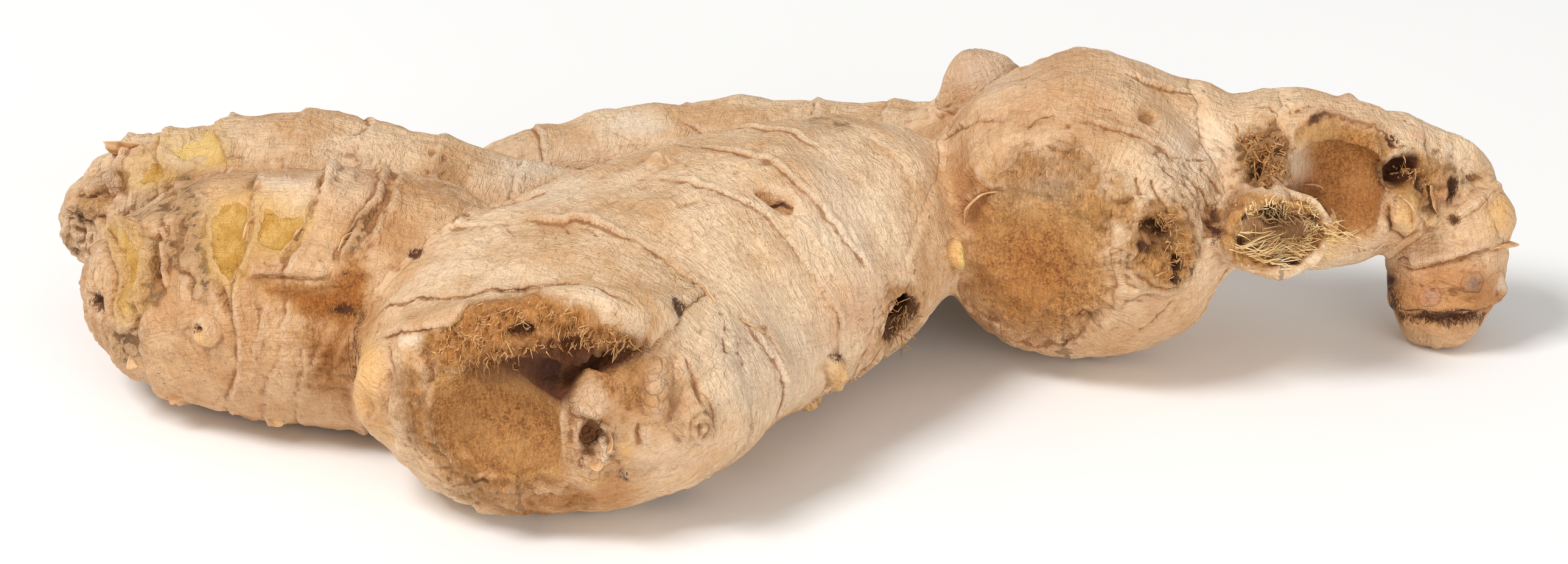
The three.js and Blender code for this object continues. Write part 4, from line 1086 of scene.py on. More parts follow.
@dataclass
class Skin:
    """The whole hand's skin, from the CAD solid to the finished mesh."""

    camera: StudioCamera
    name: str = "ginger_skin"
    even_rounds: int = 14  # rounds of evening that take the facets away
    keep_rounds: int = 40  # rounds that spread what the evening took from the form
    seam_rounds: int = 5
    tone_rounds: int = 30  # rounds that spread the lobes' own brown
    lump_height: float = 0.42  # mm, as are all that follow
    wrinkle_height: float = 0.1
    bump_height: float = 0.09
    crease_height: float = 1.25
    pleat_spacing: float = 2.3
    shelf_reach: float = 2.2  # how far a ring's step fades towards the base
    pinch: float = 0.5  # how deep the skin is drawn in at a ring, as a share of its height
    pinch_reach: float = 2.5
    strand_height: float = 0.75  # of torn flesh
    crumb_step: float = 0.14  # the thickness of a flaking layer
    stain_height: float = 0.08
    peel_rim: float = 0.12  # how high the skin's cut edge curls round peeled flesh
    hidden_bud: float = 0.9
    hidden_peel: float = 0.25

    def build(self) -> bpy.types.Object:
        """Makes the skin's mesh.

        Returns:
            The finished object, with its fields as attributes.
        """
        obj = self.start()
        self.even(obj)
        sight = Sight(obj, self.camera)
        coarse = Surface(obj.data, self.camera)
        # how shut in each point is, stored for the painted shade in the material
        shelter = coarse.spread(sight.shelter(coarse), 4)
        obj.data.attributes.new("shelter", "FLOAT", "POINT").data.foreach_set("value", shelter)
        apply_modifier(obj, "SUBSURF", levels=1, render_levels=1)
        surface = Surface(obj.data, self.camera)
        seen = sight.seen(surface)
        log.info("skin: %d points, %.0f%% of them seen", len(seen), 100 * (seen > 0).mean())
        self.lay_out(surface, sight)
        self.add_lumps(surface)
        self.add_swells(surface, seen)
        self.add_patches(surface, seen)
        self.add_scars(surface, seen)
        self.add_folds(surface, sight, seen)
        self.add_lines(surface, sight)
        self.finish_fields(surface)
        self.write(obj, surface)
        faces = len(obj.data.polygons) * 2
        apply_modifier(obj, "DECIMATE", ratio=min(1.0, SKIN_TRIANGLES / faces))
        obj.data.shade_smooth()
        log.info("skin: %d triangles", len(obj.data.polygons))
        return obj

    def start(self) -> bpy.types.Object:
        """A copy of the solid as one closed mesh of even squares.

        Returns:
            The object, in squares of the coarse size.
        """
        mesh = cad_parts[NODE].data.copy()
        mesh.materials.clear()
        shell = bmesh.new()
        shell.from_mesh(mesh)
        bmesh.ops.remove_doubles(shell, verts=shell.verts, dist=1e-6)
        shell.to_mesh(mesh)
        shell.free()
        obj = bpy.data.objects.new(self.name, mesh)
        bpy.context.scene.collection.objects.link(obj)
        apply_modifier(obj, "REMESH", mode="VOXEL", voxel_size=COARSE_VOXEL * MM, adaptivity=0.0)
        return obj

    def even(self, obj: bpy.types.Object) -> None:
        """Takes the solid's facets away and keeps its form.

        Args:
            obj: The skin's object.
        """
        surface = Surface(obj.data, self.camera)
        before = surface.places
        factor = np.full(len(before), 0.5)
        for spot in KEPT:
            gap = np.linalg.norm(before - (np.array(spot.at) + LAYOUT_TO_FRAME), axis=1)
            kept = spot.evening + (0.5 - spot.evening) * smooth_step(0.7, 1.15, gap / spot.radius)
            factor = np.minimum(factor, kept)
        relaxed = surface.spread(before, self.even_rounds, factor)
        lost = surface.spread(((before - relaxed) * surface.normals).sum(1), self.keep_rounds)
        places = relaxed + lost[:, None] * surface.normals
        obj.data.vertices.foreach_set("co", (places * MM).astype(np.float32).ravel())
        obj.data.update()

    def lay_out(self, surface: Surface, sight: Sight) -> None:
        """Finds each point's lobe and its place on it, and raises the leaf rings.

        Args:
            surface: The skin's points.
            sight: The camera's view of the skin before its marks are added.
        """
        count = len(surface.places)
        best = np.full(count, 1e9)
        grain = np.zeros((count, 3))
        stray = Noise(11)
        fine = Noise(12)
        wander = 0.7 * stray.at(surface.places, 5.0) + 0.3 * fine.at(surface.places, 1.3)
        strength = 0.45 + 0.6 * stray.at(surface.places + 50.0, 7.0) + 0.3 * fine.at(surface.places, 2.2)
        rings = np.full(count, NO_RING)
        heights, darks, rough, tan = np.zeros((4, count))
        owner = np.zeros(count, int)
        for index, lobe in enumerate(LOBES):
            distance, angle, round_way, share = lobe.coordinates(surface.places)
            mine = share < best
            if lobe.name in SMOOTH_LOBES:
                mine &= share < best - 0.15
            best = np.where(mine, share, best)
            owner[mine] = index
            grain[mine] = np.column_stack([distance, round_way, np.full(count, 40.0 * index)])[mine]
            rings[mine] = NO_RING
            heights[mine] = 0.0
            darks[mine] = 0.0
            tan[mine] = lobe.tan
            tip = smooth_step(*TIP_END, distance)
            rough[mine] = np.maximum(lobe.tip_rough * tip, lobe.crinkle)[mine]
            for ring in lobe.rings:
                where = ring.at + ring.side * np.cos(angle) + ring.top * np.sin(angle)
                if ring.trace:
                    where += self.follow(ring, lobe, sight, angle)
                gap = distance - where + wander * 0.6
                nearer = mine & (np.abs(gap) < np.abs(rings))
                rings[nearer] = gap[nearer]
                heights[nearer] = ring.height
                darks[nearer] = ring.dark
        apart = surface.edges[owner[surface.edges[:, 0]] != owner[surface.edges[:, 1]]]
        seam = np.zeros(count)
        seam[apart.ravel()] = 1.0
        surface.fields["seam"] = np.clip(2.5 * surface.spread(seam, self.seam_rounds), 0, 1)
        surface.fields["ring"] = rings
        surface.fields["ring_dark"] = darks * np.clip(strength + 0.2, 0, 1)
        surface.fields["tan"] = surface.spread(tan, self.tone_rounds)
        surface.grain = grain
        surface.rough = surface.spread(rough, 12)
        power = np.clip(strength, 0.1, 1.1) * heights
        shelf = np.where(rings > 0, np.exp(-rings / self.shelf_reach) * smooth_step(-0.2, 0.25, rings), 0.0)
        groove = 0.5 * np.exp(-((rings + 0.3) / 0.4) ** 2)
        rim = np.exp(-((rings - 0.4) / 0.4) ** 2)
        surface.lift += power * (1.2 * shelf + 0.9 * rim - groove)
        surface.lift -= self.pinch * heights * np.exp(-np.abs(rings) / self.pinch_reach)

    def follow(self, ring: Ring, lobe: Lobe, sight: Sight, angle: Array) -> Array:
        """How far the traced part of a ring lies from where the ring's own numbers put it.

        Args:
            ring: A ring with a trace.
            lobe: The lobe it lies on.
            sight: The camera's view of the skin before its marks are added.
            angle: Each point's angle round the lobe.

        Returns:
            One distance a point, in mm.
        """
        spots, _ = sight.trace(ring.trace, 10.0)
        at, turn, _, _ = lobe.coordinates(spots)
        rest = at - (ring.at + ring.side * np.cos(turn) + ring.top * np.sin(turn))
        kept = np.abs(rest) < 9.0
        reach = math.radians(7.0)
        total = np.zeros(len(angle))
        weight = np.full(len(angle), 0.02)
        for offset, where in zip(rest[kept], turn[kept]):
            gap = np.angle(np.exp(1j * (angle - where)))
            part = np.exp(-((gap / reach) ** 2)) + 0.05 * np.exp(-((gap / (5 * reach)) ** 2))
            total += part * offset
            weight += part
        return total / weight

    def add_lumps(self, surface: Surface) -> None:
        """Raises the shallow lumps and the wrinkles that run along each lobe.

        Args:
            surface: The skin's points.
        """
        lumps = Noise(21).layers(surface.places, 9.0, 4)
        wrinkles = Noise(22).layers(surface.grain, (7.0, 1.3, 1.0), 2)
        zone = smooth_step(-0.2, 0.6, Noise(23).at(surface.places, 12.0))
        bumps = Noise(25).layers(surface.places, 2.6, 2)
        surface.lift += self.lump_height * lumps + self.wrinkle_height * (0.4 + zone) * wrinkles
        surface.lift += self.bump_height * (0.5 + zone) * bumps
        bend = 1.1 * Noise(26).at(surface.places, 8.0)
        warp = np.column_stack([bend, np.zeros((len(zone), 2))])
        pleats = np.abs(np.cos(math.pi * (surface.grain[:, 0] + bend) / self.pleat_spacing))
        creases = 1 - np.abs(Noise(24).layers(surface.grain + warp, (1.8, 7.0, 1.0), 3))
        rough = surface.rough * (0.6 + 0.6 * zone)
        surface.lift += self.crease_height * rough * (0.25 * (creases - 0.6) + 0.42 * (pleats - 0.6))

    def add_swells(self, surface: Surface, seen: Array) -> None:
        """Raises the knobs and sinks the dents.

        Args:
            surface: The skin's points.
            seen: How well the camera sees each point, from 0 to 1.
        """
        stray = Noise(36)
        for swell in SWELLS:
            spin = math.radians(swell.turn)
            away = surface.pixels - np.array((swell.x, swell.y))
            x = away[:, 0] * math.cos(spin) + away[:, 1] * math.sin(spin)
            y = -away[:, 0] * math.sin(spin) + away[:, 1] * math.cos(spin)
            share = np.hypot(x / swell.half_width, y / swell.half_height)
            picked = np.flatnonzero((share < 1.6) & (seen > 0.0))
            reach = share[picked] * (1 + 0.18 * stray.layers(surface.places[picked], 3.0, 2))
            rise = np.exp(-(reach ** (2 * swell.flat)) * 1.6)
            surface.lift[picked] += swell.height * rise * np.minimum(1, seen[picked] * 4)

    def add_patches(self, surface: Surface, seen: Array) -> None:
        """Lays the marked patches on the skin.

        Args:
            surface: The skin's points.
            seen: How well the camera sees each point, from 0 to 1.
        """
        stray = Noise(31)
        fine = Noise(32)
        rough = Noise(33)
        scale = self.camera.pixels_per_mm
        for patch in PATCHES:
            outline = np.reshape(patch.outline, (-1, 2)).astype(float)
            low, high = outline.min(0) - 40, outline.max(0) + 40
            near = (seen > 0) & (surface.pixels > low).all(1) & (surface.pixels < high).all(1)
            picked = np.flatnonzero(near)
            if not len(picked):
                log.warning("a %s patch misses the skin", patch.mark.value)
                continue
            places = surface.places[picked]
            depth = distance_in_outline(surface.pixels[picked], outline) / scale
            depth += patch.ragged * (0.7 * stray.at(places, 2.2) + 0.4 * fine.at(places, 0.8))
            shown = np.minimum(1, seen[picked] * 3)
            weight = np.clip(0.5 + depth / (2 * (0.7 + patch.soft)), 0, 1) * shown
            surface.lift[picked] += patch.lift * smooth_step(-0.3, 0.3, depth) * shown
            if patch.over:
                surface.fields["peeled"][picked] = np.minimum(surface.fields["peeled"][picked], -depth)
            if patch.rough:
                lumps = rough.layers(places + 7.0, 1.7, 3)
                surface.lift[picked] += patch.rough * weight * lumps
            if patch.mark is Mark.PEELED:
                surface.raise_field("peeled", np.where(seen[picked] > 0.2, depth, NOT_PEELED), picked)
                surface.lift[picked] += self.peel_rim * np.exp(-(((depth + 0.45) / 0.35) ** 2))
            else:
                surface.raise_field(patch.mark.value, patch.strength * weight, picked)
            if patch.mark is Mark.TORN:
                strands = 1 - np.abs(rough.layers(places, (1.3, 2.6, 1.0), 3))
                surface.lift[picked] += self.strand_height * weight * patch.strength * (strands - 0.7)
            if patch.mark is Mark.CRUMBLY:
                crumbs = rough.layers(places, 2.0, 3)
                layers = smooth_step(-0.1, 0.05, crumbs) + smooth_step(0.35, 0.5, crumbs)
                surface.lift[picked] += weight * patch.strength * (self.crumb_step * layers + 0.1 * crumbs)
            if patch.mark is Mark.STAINED:
                surface.lift[picked] += self.stain_height * weight * rough.layers(places, 1.2, 2)

    def add_scars(self, surface: Surface, seen: Array) -> None:
        """Marks the sides that the camera does not see.

        Args:
            surface: The skin's points.
            seen: How well the camera sees each point, from 0 to 1.
        """
        draw = np.random.default_rng(61)
        stray = Noise(62)
        scars = list(SCARS)
        hidden = np.flatnonzero((seen == 0) & (surface.places[:, 2] > 1.0))
        for mark, count, low, high in STRAY_MARKS:
            for index in draw.choice(hidden, count, replace=False):
                place = surface.places[index] - LAYOUT_TO_FRAME
                scars.append(Scar(mark, tuple(place), draw.uniform(low, high), 0.15))
        for scar in scars:
            gap = np.linalg.norm(surface.places - (np.array(scar.at) + LAYOUT_TO_FRAME), axis=1)
            picked = np.flatnonzero((gap < scar.radius + 3.0) & (seen == 0))
            places = surface.places[picked]
            ragged = 0.25 * scar.radius * stray.layers(places, 0.9 * scar.radius, 3)
            depth = scar.radius - gap[picked] + ragged
            tinted = scar.mark in (Mark.PALE_AND_PAINTED_LIGHT, Mark.TAN)
            soft = 0.9 * scar.radius if tinted else 0.4
            weight = smooth_step(-soft, soft, depth)
            if scar.mark is Mark.PEELED:
                surface.raise_field("peeled", depth, picked)
                surface.lift[picked] -= self.hidden_peel * smooth_step(-0.3, 0.3, depth)
            elif scar.mark is Mark.BUD:
                surface.raise_field("bud", weight, picked)
                surface.lift[picked] += self.hidden_bud * weight
            else:
                surface.raise_field(scar.mark.value, (0.45 if tinted else 0.8) * weight, picked)
                if not tinted:
                    surface.lift[picked] += scar.rough * weight * stray.layers(places + 9.0, 1.4, 3)

    def add_folds(self, surface: Surface, sight: Sight, seen: Array) -> None:
        """Raises the ridges round buds and tips.

        Args:
            surface: The skin's points.
            sight: The camera's view of the skin before its marks are added.
            seen: How well the camera sees each point, from 0 to 1.
        """
        stray = Noise(35)
        for folds in FOLDS:
            away = surface.places - sight.spot(folds.centre)[0]
            gap = np.sqrt((away[:, 0] / folds.squash) ** 2 + away[:, 1] ** 2 + away[:, 2] ** 2)
            picked = np.flatnonzero((gap < folds.outer + 2.0) & (seen > 0.0))
            places = surface.places[picked]
            ring = gap[picked] + folds.wander * stray.layers(places, 2.5, 2)
            wave = np.cos(2 * math.pi * (ring - folds.inner) / folds.spacing)
            inside = smooth_step(folds.inner - folds.spacing, folds.inner, ring)
            window = inside * smooth_step(folds.outer, folds.outer - 2.5 * folds.spacing, ring)
            window *= np.clip(0.8 + 0.5 * stray.at(places + 40.0, 3.0), 0, 1)
            surface.lift[picked] += folds.height * window * wave
            # painted shade in the troughs between the ridges, in the same field as the painted shade of
            # holes
            surface.raise_field("deep", folds.dark * window * smooth_step(0.3, -0.9, wave), picked)

    def add_lines(self, surface: Surface, sight: Sight) -> None:
        """Cuts the cracks into the skin and raises the ridges and the edges of scars.

        Args:
            surface: The skin's points.
            sight: The camera's view of the skin before its marks are added.
        """
        stray = Noise(41)
        fine = Noise(42)
        for line in LINES:
            spots, _ = sight.trace(line.trace)
            reach = 5.0 if line.step else 4 * line.width + 1.0
            above, below = surface.places > spots.min(0) - reach, surface.places < spots.max(0) + reach
            picked = np.flatnonzero((above & below).all(1))
            places = surface.places[picked]
            shift = line.ragged * np.column_stack([
                stray.at(places + 9.1 * k, 2.0) + 0.5 * fine.at(places + 5.7 * k, 0.8) for k in range(3)])
            gap, share = distance_to_line(places + shift, surface.normals[picked], spots)
            taper = smooth_step(0, 0.08, share) * smooth_step(0, 0.08, 1 - share)
            taper *= 0.75 + 0.4 * stray.at(places + 31.0, 3.0)
            if line.dash:
                run = share * np.linalg.norm(np.diff(spots, axis=0), axis=1).sum()
                taper *= smooth_step(-0.5, 0.3, np.cos(2 * math.pi * run / line.dash))
            core = np.exp(-((gap / line.width) ** 2)) * taper
            surface.lift[picked] += line.height * core
            lean = np.where(gap > -0.1, np.exp(-((gap / 1.3) ** 2)), 0) * taper
            surface.shift[picked] += lean[:, None] * np.array(line.push)
            if line.step:
                shelf = np.where(gap > 0, np.exp(-np.abs(gap) / 1.6), 0) * smooth_step(-0.15, 0.2, gap)
                surface.lift[picked] += line.step * shelf * taper
            window = line.dark * taper * np.exp(-((gap / (2.5 * line.width)) ** 2))
            stronger = window > surface.fields["crack_dark"][picked]
            surface.fields["crack_dark"][picked] = np.where(
                stronger, window, surface.fields["crack_dark"][picked])
            surface.fields["crack"][picked] = np.where(
                stronger, gap * 0.3 / line.width, surface.fields["crack"][picked])

    def finish_fields(self, surface: Surface) -> None:
        """Works out how deep each point lies among its neighbours.

        Args:
            surface: The skin's points.
        """
        places = surface.moved()
        mean = surface.spread(places, 6)
        wide = surface.spread(places, 40)
        # from these the material paints shade in hollows and valleys and a highlight on rises
        surface.fields["hollow"] = np.clip(((mean - places) * surface.normals).sum(1) / 0.12, -1, 1)
        surface.fields["valley"] = np.clip(((wide - places) * surface.normals).sum(1) / 0.6, -1, 1)

    def write(self, obj: bpy.types.Object, surface: Surface) -> None:
        """Moves the mesh's points and stores the fields on them.

        Args:
            obj: The skin's object.
            surface: The skin's points.
        """
        places = surface.moved()
        places[:, 2] = np.maximum(places[:, 2], 0.0)
        obj.data.vertices.foreach_set("co", (places * MM).astype(np.float32).ravel())
        for name, values in surface.fields.items():
            data = obj.data.attributes.get(name) or obj.data.attributes.new(name, "FLOAT", "POINT")
            data.data.foreach_set("value", values.astype(np.float32))
        data = obj.data.attributes.new("grain", "FLOAT_VECTOR", "POINT")
        data.data.foreach_set("vector", surface.grain.astype(np.float32).ravel())
        obj.data.update()


def apply_modifier(obj: bpy.types.Object, kind: str, **settings: object) -> None:
    """Runs one modifier on an object and keeps its result.

    Args:
        obj: The object whose mesh is replaced.
        kind: Blender's name for the modifier.
        **settings: The modifier's settings.
    """
    modifier = obj.modifiers.new(kind.lower(), kind)
    for name, value in settings.items():
        setattr(modifier, name, value)
    graph = bpy.context.evaluated_depsgraph_get()
    made = bpy.data.meshes.new_from_object(obj.evaluated_get(graph))
    obj.modifiers.clear()
    old = obj.data
    obj.data = made
    bpy.data.meshes.remove(old)


# ---------------------------------------------------------------- fibres and flakes


@dataclass(frozen=True)
class Tuft:
    """Strands that stand out along a line of the skin."""

    trace: Run
    count: int
    length: float  # mm
    lean: tuple[float, float, float]  # which way the strands point, besides outwards
    stray: float = 22.0  # pixels, how far their roots lie from the line
    curl: float = 0.35
    thickness: float = 0.11  # mm


@dataclass
class Fibres:
    """Dry strands at the broken ends, as one piece."""

    name: str
    tufts: tuple[Tuft, ...]
    seed: int
    steps: int = 6

    def build(self, sight: Sight) -> bpy.types.Object:
        """Makes the strands.

        Args:
            sight: The skin they grow from.

        Returns:
            The finished object.
        """
        draw = np.random.default_rng(self.seed)
        curve = bpy.data.curves.new(self.name, "CURVE")
        curve.dimensions = "3D"
        curve.bevel_depth = MM
        curve.bevel_resolution = 0
        curve.use_fill_caps = True
        for tuft in self.tufts:
            corners = np.reshape(tuft.trace, (-1, 2)).astype(float)
            for _ in range(tuft.count):
                part = draw.random() * (len(corners) - 1.001)
                start, share = int(part), part % 1
                pixel = corners[start] + share * (corners[start + 1] - corners[start])
                hit = sight.spot(pixel + draw.normal(0, tuft.stray, 2))
                if hit:
                    self.add_strand(curve, tuft, hit, draw)
        obj = bpy.data.objects.new(self.name, curve)
        bpy.context.scene.collection.objects.link(obj)
        graph = bpy.context.evaluated_depsgraph_get()
        mesh = bpy.data.meshes.new_from_object(obj.evaluated_get(graph))
        bpy.data.objects.remove(obj)
        mesh.name = self.name
        made = bpy.data.objects.new(self.name, mesh)
        bpy.context.scene.collection.objects.link(made)
        made.data.shade_smooth()
        log.info("%s: %d faces", self.name, len(mesh.polygons))
        return made

    def add_strand(self, curve: bpy.types.Curve, tuft: Tuft, hit: tuple[Array, Array],
                   draw: np.random.Generator) -> None:
        """Adds one bent strand that starts in the skin.

        Args:
            curve: The curve that holds the strands.
            tuft: Its tuft.
            hit: Where it starts, and the skin's direction there.
            draw: The source of chance.
        """
        root, outward = hit
        heading = unit(0.5 * outward + np.array(tuft.lean) + draw.normal(0, 0.35, 3))
        bend = draw.normal(0, tuft.curl, 3)
        twist = draw.normal(0, tuft.curl, 3)
        length = tuft.length * draw.uniform(0.35, 1.0)
        spline = curve.splines.new("POLY")
        spline.points.add(self.steps - 1)
        for k in range(self.steps):
            share = k / (self.steps - 1)
            wave = bend * share**2 + twist * math.sin(2.6 * share * math.pi) * 0.3
            place = root - 0.15 * outward + length * (heading * share + wave)
            spline.points[k].co = (*(place * MM), 1.0)
            spline.points[k].radius = tuft.thickness * (1 - 0.75 * share)


@dataclass(frozen=True)
class Flake:
    """A papery scrap of old leaf scale that is held along one edge and curls away."""

    edge: Run
    width: float  # mm from the held edge to the free one
    lean: tuple[float, float, float]  # which way it points, besides outwards
    curl: float = 0.8  # how far it turns over, as a share of a half turn
    points: int = 9


@dataclass
class Flakes:
    """The papery scraps, as one piece."""

    name: str
    flakes: tuple[Flake, ...]
    seed: int
    rows: int = 5
    thickness: float = 0.16

    def build(self, sight: Sight) -> bpy.types.Object:
        """Makes the scraps.

        Args:
            sight: The skin they hang on.

        Returns:
            The finished object.
        """
        draw = np.random.default_rng(self.seed)
        scraps = bmesh.new()
        for flake in self.flakes:
            self.add_flake(scraps, flake, sight, draw)
        mesh = bpy.data.meshes.new(self.name)
        bmesh.ops.recalc_face_normals(scraps, faces=scraps.faces)
        scraps.to_mesh(mesh)
        scraps.free()
        obj = bpy.data.objects.new(self.name, mesh)
        bpy.context.scene.collection.objects.link(obj)
        apply_modifier(obj, "SOLIDIFY", thickness=self.thickness * MM, offset=0.0)
        apply_modifier(obj, "SUBSURF", levels=1, render_levels=1)
        obj.data.shade_smooth()
        log.info("%s: %d faces", self.name, len(obj.data.polygons))
        return obj

    def add_flake(self, scraps: bmesh.types.BMesh, flake: Flake, sight: Sight,
                  draw: np.random.Generator) -> None:
        """Adds one scrap, row by row from its held edge.

        Args:
            scraps: The mesh being made.
            flake: The scrap.
            sight: The skin it hangs on.
            draw: The source of chance.
        """
        places, normals = sight.trace(flake.edge, 4.0)
        if len(places) < 3:
            log.warning("a flake misses the skin")
            return
        pick = np.linspace(0, len(places) - 1, flake.points).astype(int)
        held, outward = places[pick], normals[pick]
        outward = unit(outward.mean(0))
        lean = unit(np.array(flake.lean))
        share = np.linspace(0, 1, flake.points)
        full = np.sin(math.pi * np.clip(share * 0.96 + 0.02, 0, 1)) ** 0.6
        width = flake.width * full * draw.uniform(0.7, 1.1, flake.points)
        row = [scraps.verts.new((place - 0.3 * outward) * MM) for place in held]
        edges = [scraps.edges.new(pair) for pair in zip(row[:-1], row[1:])]
        turn = flake.curl * math.pi / self.rows
        for k in range(1, self.rows + 1):
            made = bmesh.ops.extrude_edge_only(scraps, edges=edges)["geom"]
            fresh = [item for item in made if isinstance(item, bmesh.types.BMVert)]
            edges = [item for item in made if isinstance(item, bmesh.types.BMEdge)
                     and all(vertex in fresh for vertex in item.verts)]
            angle = turn * (k - 0.5)
            heading = lean * math.cos(angle) + outward * math.sin(angle)
            gaps = {vertex: [(old.co - vertex.co).length for old in row] for vertex in fresh}
            fresh.sort(key=lambda vertex: int(np.argmin(gaps[vertex])))
            for vertex, reach in zip(fresh, width):
                move = heading * reach / self.rows + draw.normal(0, 0.03, 3)
                vertex.co += Vector(move * MM)
            row = fresh


TORN_FIBRES = (
    Tuft((730, 590, 790, 590, 840, 578), 60, 1.3, (0.2, -0.2, -0.9), 5, 0.3, 0.12),
    Tuft((860, 566, 940, 566, 1000, 556, 1050, 560), 70, 0.9, (0.2, -0.3, -0.8), 4, 0.3, 0.11),
    Tuft((770, 520, 840, 512, 910, 520, 980, 540,
        1040, 556), 220, 1.5, (-0.5, -0.1, -0.8), 12, 0.4, 0.12),
    Tuft((720, 560, 780, 556, 840, 560), 110, 1.3, (-0.4, -0.1, -0.6), 14, 0.4, 0.11),
    Tuft((1660, 290, 1725, 262, 1790, 268), 50, 1, (0, -0.3, -0.9), 12, 0.3, 0.1),
    Tuft((1474, 500, 1480, 560), 30, 1.5, (0.1, -0.4, -0.6), 12, 0.4, 0.1),
    Tuft((2056, 230, 2076, 260, 2096, 290), 120, 1.3, (0.1, -0.4, 0.3), 14, 0.7, 0.18),
    Tuft((2290, 290, 2320, 280, 2340, 300), 40, 1.1, (0.1, -0.6, -0.3), 11, 0.5, 0.14),
    Tuft((1880, 355, 1925, 360, 1950, 420, 1900, 450), 90, 1.3, (0, -0.6, 0.1), 10, 0.5, 0.12),
)
STUB_FIBRES = (
    Tuft((2080, 392, 2110, 404, 2140, 400), 64, 5, (1.1, -0.6, -0.25), 7, 0.12, 0.11),
    Tuft((2030, 400, 2070, 420, 2120, 418), 90, 4, (1.3, -0.4, 0.1), 8, 0.1, 0.1),
    Tuft((2060, 360, 2100, 350, 2150, 360), 36, 2.6, (1.2, -0.4, 0), 8, 0.15, 0.1),
    Tuft((2030, 340, 2090, 334, 2150, 336), 60, 1.6, (0.2, -0.8, -0.6), 8, 0.4, 0.11),
    Tuft((2150, 350, 2160, 380, 2140, 410), 60, 1.5, (0.3, -0.8, 0.2), 8, 0.4, 0.11),
    Tuft((2172, 372, 2176, 392, 2160, 412), 46, 3.4, (1.5, -0.3, -0.1), 6, 0.2, 0.1),
)
FLAKES = (
    Flake((236, 236, 222, 240, 205, 246, 192, 252), 3.4, (-0.9, -0.2, 0.25), 0.12, 7),
    Flake((1640, 315, 1617, 320, 1596, 338, 1584, 372), 1.7, (-0.6, -0.4, 0.5), 0.75),
    Flake((992, 744, 1000, 724, 996, 702), 1.3, (0.7, -0.6, -0.2), 0.5, 7),
    Flake((962, 756, 978, 760, 998, 752), 1.4, (0.2, -0.7, -0.6), 0.4, 7),
    Flake((1119, 423, 1128, 432, 1138, 444), 1.4, (-0.6, -0.5, -0.3), 0.3, 5),
    Flake((1174, 493, 1160, 480, 1150, 462, 1140, 450), 1.6, (0.5, -0.4, -0.5), 0.5, 7),
    Flake((1262, 545, 1240, 532, 1215, 520), 1, (0.2, -0.5, -0.6), 0.5, 5),
    Flake((300, 652, 286, 650, 276, 642), 1.2, (-0.3, -0.2, -0.9), 0.3, 5),
    Flake((470, 690, 455, 690, 438, 686), 1.2, (0, -0.2, -1), 0.3, 5),
    Flake((226, 600, 220, 592, 212, 580), 1.4, (-0.5, -0.2, -0.7), 0.3, 5),
    Flake((2478, 398, 2466, 404, 2450, 410), 2, (0.7, 0, 0.1), 0.2, 5),
    Flake((2140, 305, 2160, 306, 2176, 316), 1.3, (0.2, -0.6, 0.7), 0.5, 7),
    Flake((2184, 340, 2188, 362, 2180, 392), 1.4, (0.8, -0.5, 0.1), 0.5, 7),
    Flake((2300, 320, 2318, 330, 2326, 350, 2320, 384), 1.4, (-0.5, -0.7, 0.1), 0.7, 7),
    Flake((2350, 300, 2358, 330, 2362, 356), 1.2, (-0.5, -0.7, 0.1), 0.6, 7),
    Flake((580, 380, 568, 398, 555, 416), 0.9, (-0.7, -0.4, 0.1), 0.4, 7),
    Flake((505, 369, 492, 386, 480, 401), 0.9, (-0.7, -0.4, 0.1), 0.4, 7),
    Flake((423, 351, 410, 374, 401, 394), 0.9, (-0.7, -0.4, 0.1), 0.4, 7),
)


# ---------------------------------------------------------------- materials


def colour(red: int, green: int, blue: int) -> Colour:
    """A colour from its screen values of 0 to 255.

    Args:
        red: How red it is, from 0 to 255.
        green: How green it is.
        blue: How blue it is.

    Returns:
        The colour as shaders take it.
    """
    parts = [value / 255 for value in (red, green, blue)]
    line = [p / 12.92 if p <= 0.04045 else ((p + 0.055) / 1.055) ** 2.4 for p in parts]
    return (line[0], line[1], line[2], 1.0)


